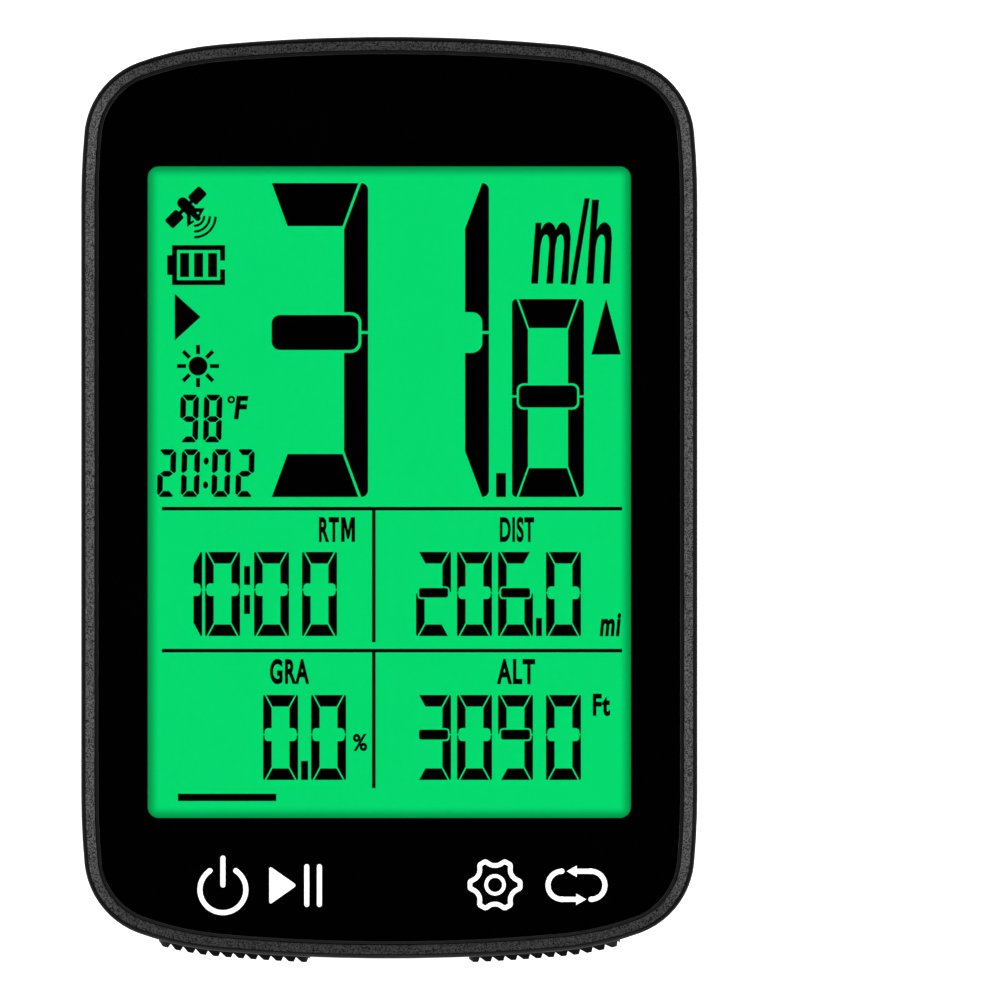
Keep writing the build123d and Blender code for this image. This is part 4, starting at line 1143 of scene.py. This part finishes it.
class AddPoints(Operator):
    """Adds the decimal points, the colons and the rules between the fields"""

    bl_idname = "computer.add_points"
    bl_label = "Points and rules"

    def execute(self, context):
        piece = open_piece("screen_rules")
        for sides in (
            (-20.67, 21.16, -1.16, -0.83), (-20.67, 21.16, -14.06, -13.73),
            (-1.57, -1.25, -13.13, -1.16), (-1.57, -1.25, -26.39, -14.06),
            (-19.21, -10.27, -27.57, -26.90), (9.70, 10.60, 0.06, 2.24),
            (-13.20, -12.65, -7.93, -6.21), (-13.20, -12.65, -10.57, -8.84),
            (13.33, 13.87, -12.57, -10.93), (-8.02, -7.38, -25.65, -23.92),
        ):
            add_bar(*sides)
        add_disc(-16.64, 3.33, 0.24, stretch=1.35)
        add_disc(-16.70, 1.15, 0.24, stretch=1.35)
        close_display_piece(piece)
        return {"FINISHED"}


class AddSymbols(Operator):
    """Adds the satellite, battery, riding, lamp and climb symbols of the display"""

    bl_idname = "computer.add_symbols"
    bl_label = "Display symbols"

    def execute(self, context):
        piece = open_piece("screen_symbols")
        self.draw_satellite(piece)
        self.draw_battery()
        add_outline(piece, [(-19.50, 14.28), (-17.15, 16.42), (-19.50, 18.54)])
        add_outline(piece, [(18.36, 13.01), (21.04, 13.01), (19.70, 18.07)])
        self.draw_lamp()
        add_arc(-14.36, 8.91, 0.25, 0.21, 0, 360, steps=24)
        close_display_piece(piece)
        return {"FINISHED"}

    def draw_satellite(self, piece):
        """Two wings, a strut, a body with its dish, and three waves."""
        for x, y in ((-17.44, 27.45), (-19.53, 25.33)):
            add_bar(x - 0.74, x + 0.74, y - 0.55, y + 0.55, rounding=0.22, turn=45)
        add_bar(-19.6, -17.4, 26.20, 26.56, turn=45)
        add_bar(-19.40, -17.50, 25.96, 26.98, rounding=0.50, turn=-45)
        add_bar(-18.50, -17.00, 25.49, 26.01, rounding=0.24, turn=-45)
        add_outline(piece, [
            (-17.95, 26.33), (-16.77, 26.31), (-17.18, 25.58),
            (-17.38, 25.66), (-17.27, 25.98), (-17.75, 25.86),
        ])
        add_outline(piece, [
            (-18.42, 25.90), (-18.37, 24.61), (-17.72, 25.05),
            (-17.80, 25.22), (-18.06, 25.10), (-17.98, 25.60),
        ])
        for radius in (0.87, 1.39, 1.91):
            add_arc(-17.70, 25.58, radius, 0.23, -88, 84, steps=16)

    def draw_battery(self):
        """A case with an open end, its cap and three bars of charge."""
        for sides in (
            (-19.74, -14.92, 22.50, 22.95), (-19.74, -14.92, 19.32, 19.77),
            (-19.74, -19.29, 19.77, 22.50), (-15.37, -14.92, 21.55, 22.50),
            (-15.37, -14.92, 19.77, 20.74), (-20.19, -19.74, 20.24, 22.04),
        ):
            add_bar(*sides)
        for left in (-19.01, -17.74, -16.47):
            add_bar(left, left + 0.82, 20.05, 22.23)

    def draw_lamp(self):
        """A disc with eight rays."""
        add_disc(-17.38, 11.96, 0.86, sides=40)
        for turn in range(0, 360, 45):
            along = Vector((math.cos(math.radians(turn)), math.sin(math.radians(turn))))
            x, y = Vector((-17.38, 11.96)) + along * 1.50
            add_bar(x - 0.42, x + 0.42, y - 0.18, y + 0.18, turn=turn)


class AddLabels(Operator):
    """Adds the field names and units of the display"""

    bl_idname = "computer.add_labels"
    bl_label = "Display labels"

    def execute(self, context):
        labels = (
            ("F", -14.13, -12.80, 7.13, 9.26, 0.15, 0.04),
            ("RT", -6.40, -4.56, -4.03, -1.76, 0.0, 0.038),
            ("DIST", 10.04, 13.17, -4.05, -1.74, 0.0, 0.038),
            ("GRA", -10.85, -7.27, -16.95, -14.64, 0.0, 0.038),
            ("ALT", 9.77, 13.26, -16.95, -14.64, 0.0, 0.038),
            ("mi", 19.12, 21.07, -12.59, -10.46, 0.15, 0.04),
            ("Ft", 18.49, 20.07, -19.85, -17.81, 0.0, 0.04),
            ("%", -3.31, -2.00, -23.03, -21.45, 0.0, 0.03),
        )
        drawn = self.draw_letters()
        join_on_display("screen_labels", [drawn] + [add_text(*label) for label in labels])
        return {"FINISHED"}

    def draw_letters(self):
        """The letters of the speed's unit, and the narrow M of the ride time's name."""
        drawn = open_piece("screen_label_speed_unit")
        add_outline(drawn, [
            (12.88, 19.45), (13.51, 19.45), (13.75, 22.86), (13.93, 23.67), (14.26, 24.00),
            (14.49, 23.70), (14.53, 22.86), (14.26, 19.45), (14.89, 19.45), (15.11, 22.86),
            (15.28, 23.67), (15.60, 24.00), (15.83, 23.70), (15.87, 22.86), (15.58, 19.45),
            (16.26, 19.45), (16.49, 23.59), (16.38, 24.62), (15.87, 25.10), (15.42, 24.88),
            (15.13, 24.32), (15.02, 24.75), (14.55, 25.10), (14.08, 24.88), (13.79, 24.32),
            (13.84, 24.99), (13.29, 24.99),
        ], dict.fromkeys((3, 4, 5, 11, 12, 13, 17, 18, 19, 21, 22, 23), 0.22))
        add_outline(drawn, [
            (17.91, 19.45), (18.56, 19.45), (18.78, 22.86), (18.96, 23.67), (19.33, 24.00),
            (19.57, 23.70), (19.60, 22.86), (19.40, 19.45), (20.04, 19.45), (20.24, 23.59),
            (20.14, 24.62), (19.64, 25.10), (19.17, 24.88), (18.84, 24.32), (19.07, 27.08),
            (18.42, 27.08),
        ], dict.fromkeys((3, 4, 5, 10, 11, 12), 0.22))
        add_outline(drawn, [(16.42, 19.34), (16.93, 19.34), (18.22, 27.21), (17.74, 27.21)])
        add_outline(drawn, [
            (-4.38, -4.01), (-4.38, -1.77), (-4.00, -1.77), (-3.745, -2.95), (-3.49, -1.77),
            (-3.11, -1.77), (-3.11, -4.01), (-3.43, -4.01), (-3.43, -2.70), (-3.65, -3.75),
            (-3.84, -3.75), (-4.06, -2.70), (-4.06, -4.01),
        ])
        bpy.ops.mesh.select_all(action="SELECT")
        bpy.ops.mesh.inset(thickness=0.025 * MM, use_outset=True)
        bpy.ops.object.mode_set(mode="OBJECT")
        return drawn


class AddKeyMarks(Operator):
    """Adds the power, start and pause, settings and page marks printed behind the lens"""

    bl_idname = "computer.add_key_marks"
    bl_label = "Key marks"

    def execute(self, context):
        look = context.scene.computer_settings.marks
        ink = print_material(look)
        for name, draw in (
            ("mark_power", self.draw_power), ("mark_start_pause", self.draw_start_pause),
            ("mark_settings", self.draw_settings), ("mark_page", self.draw_page),
        ):
            piece = open_piece(name)
            draw(piece, look.stroke / MM)
            close_piece(piece, PRINT_THICKNESS)
            settle(piece, ink)
        return {"FINISHED"}

    def draw_upright(self, x, bottom, top, stroke):
        half = stroke / 2
        add_bar(x - half, x + half, bottom, top, PRINT_LEVEL, rounding=stroke * 0.49)

    def draw_power(self, piece, stroke):
        """An open ring with an upright stroke in its gap."""
        add_arc(-15.12, -35.62, 2.085, stroke, 124, 292, 72, PRINT_LEVEL)
        self.draw_upright(-15.12, -35.42, -32.52, stroke)

    def draw_start_pause(self, piece, stroke):
        """A triangle and two upright strokes."""
        corners = [(-10.91, -33.46), (-8.38, -35.22), (-10.91, -37.00)]
        add_outline(piece, corners, dict.fromkeys(range(3), 0.30), PRINT_LEVEL)
        for x in (-7.50, -6.35):
            self.draw_upright(x, -37.19, -33.30, stroke)

    def draw_settings(self, piece, stroke):
        """The outline of a gear with six teeth, round a ring."""
        x, y, root, tip = 9.61, -35.18, 1.80, 2.53
        middle = Vector((x * MM, y * MM, PRINT_LEVEL))
        bpy.ops.mesh.primitive_circle_add(
            vertices=18, radius=root * MM, fill_type="NGON", location=middle
        )

        def on_tooth(place):
            angle = math.degrees(math.atan2(place.y - middle.y, place.x - middle.x)) % 60
            return min(angle, 60 - angle) < 15

        select_where(piece, on_tooth)
        bpy.ops.transform.resize(value=(tip / root, tip / root, 1), center_override=middle)
        round_corners(0.22, segments=4)
        select_where(piece, lambda place: (place - middle).length < (root + 0.02) * MM)
        round_corners(0.50)
        bpy.ops.mesh.select_all(action="SELECT")
        bpy.ops.mesh.inset(thickness=stroke * 0.92 * MM)
        bpy.ops.mesh.delete(type="FACE")
        add_arc(x, y, 0.81, 0.33, 0, 360, 40, PRINT_LEVEL)

    def draw_page(self, piece, stroke):
        """A long loop made of two arrows that follow each other."""
        rise, reach = 1.275, 1.31
        middle_x, middle_y = 17.01, -35.22
        for side in (1, -1):
            cap, edge = middle_x + side * reach, middle_y + side * rise
            near, far = sorted((middle_x, cap))
            add_bar(near, far, edge - stroke / 2, edge + stroke / 2, PRINT_LEVEL)
            add_arc(cap, middle_y, rise, stroke, -90 * side, 180, 32, PRINT_LEVEL)
            base, tip = middle_x + side * 0.03, middle_x - side * 0.88
            head = [(base, edge - 0.53), (base, edge + 0.53), (tip, edge)]
            add_outline(piece, head, level=PRINT_LEVEL)


class ComputerPanel(Panel):
    """Sizes, colours and steps of the cycling computer"""

    bl_idname = "VIEW3D_PT_cycling_computer"
    bl_label = "Cycling Computer"
    bl_space_type = "VIEW_3D"
    bl_region_type = "UI"
    bl_category = "Computer"

    def draw(self, context):
        settings = context.scene.computer_settings
        for name in ("case", "screen", "readings", "marks", "mount", "stage"):
            box = self.layout.box()
            group = getattr(settings, name)
            box.label(text=name.title())
            for key in group.__annotations__:
                box.prop(group, key)
        for step in STEPS:
            self.layout.operator(step.bl_idname)


STEPS = (
    SetStage, FinishCase, FinishLens, FinishDisplay, FinishElectronics, FinishButtons,
    FinishMount, AddFigures, AddPoints, AddSymbols, AddLabels, AddKeyMarks,
)
CLASSES = (
    CaseFinish, ScreenLook, Readings, PrintLook, MountFinish, StageLook, ComputerSettings,
    *STEPS, ComputerPanel,
)


def register():
    for item in CLASSES:
        bpy.utils.register_class(item)
    bpy.types.Scene.computer_settings = PointerProperty(type=ComputerSettings)


def unregister():
    del bpy.types.Scene.computer_settings
    for item in reversed(CLASSES):
        bpy.utils.unregister_class(item)


def main():
    register()
    for step in STEPS:
        area, name = step.bl_idname.split(".")
        getattr(getattr(bpy.ops, area), name)()
    deselect_all()


if __name__ == "__main__":
    main()
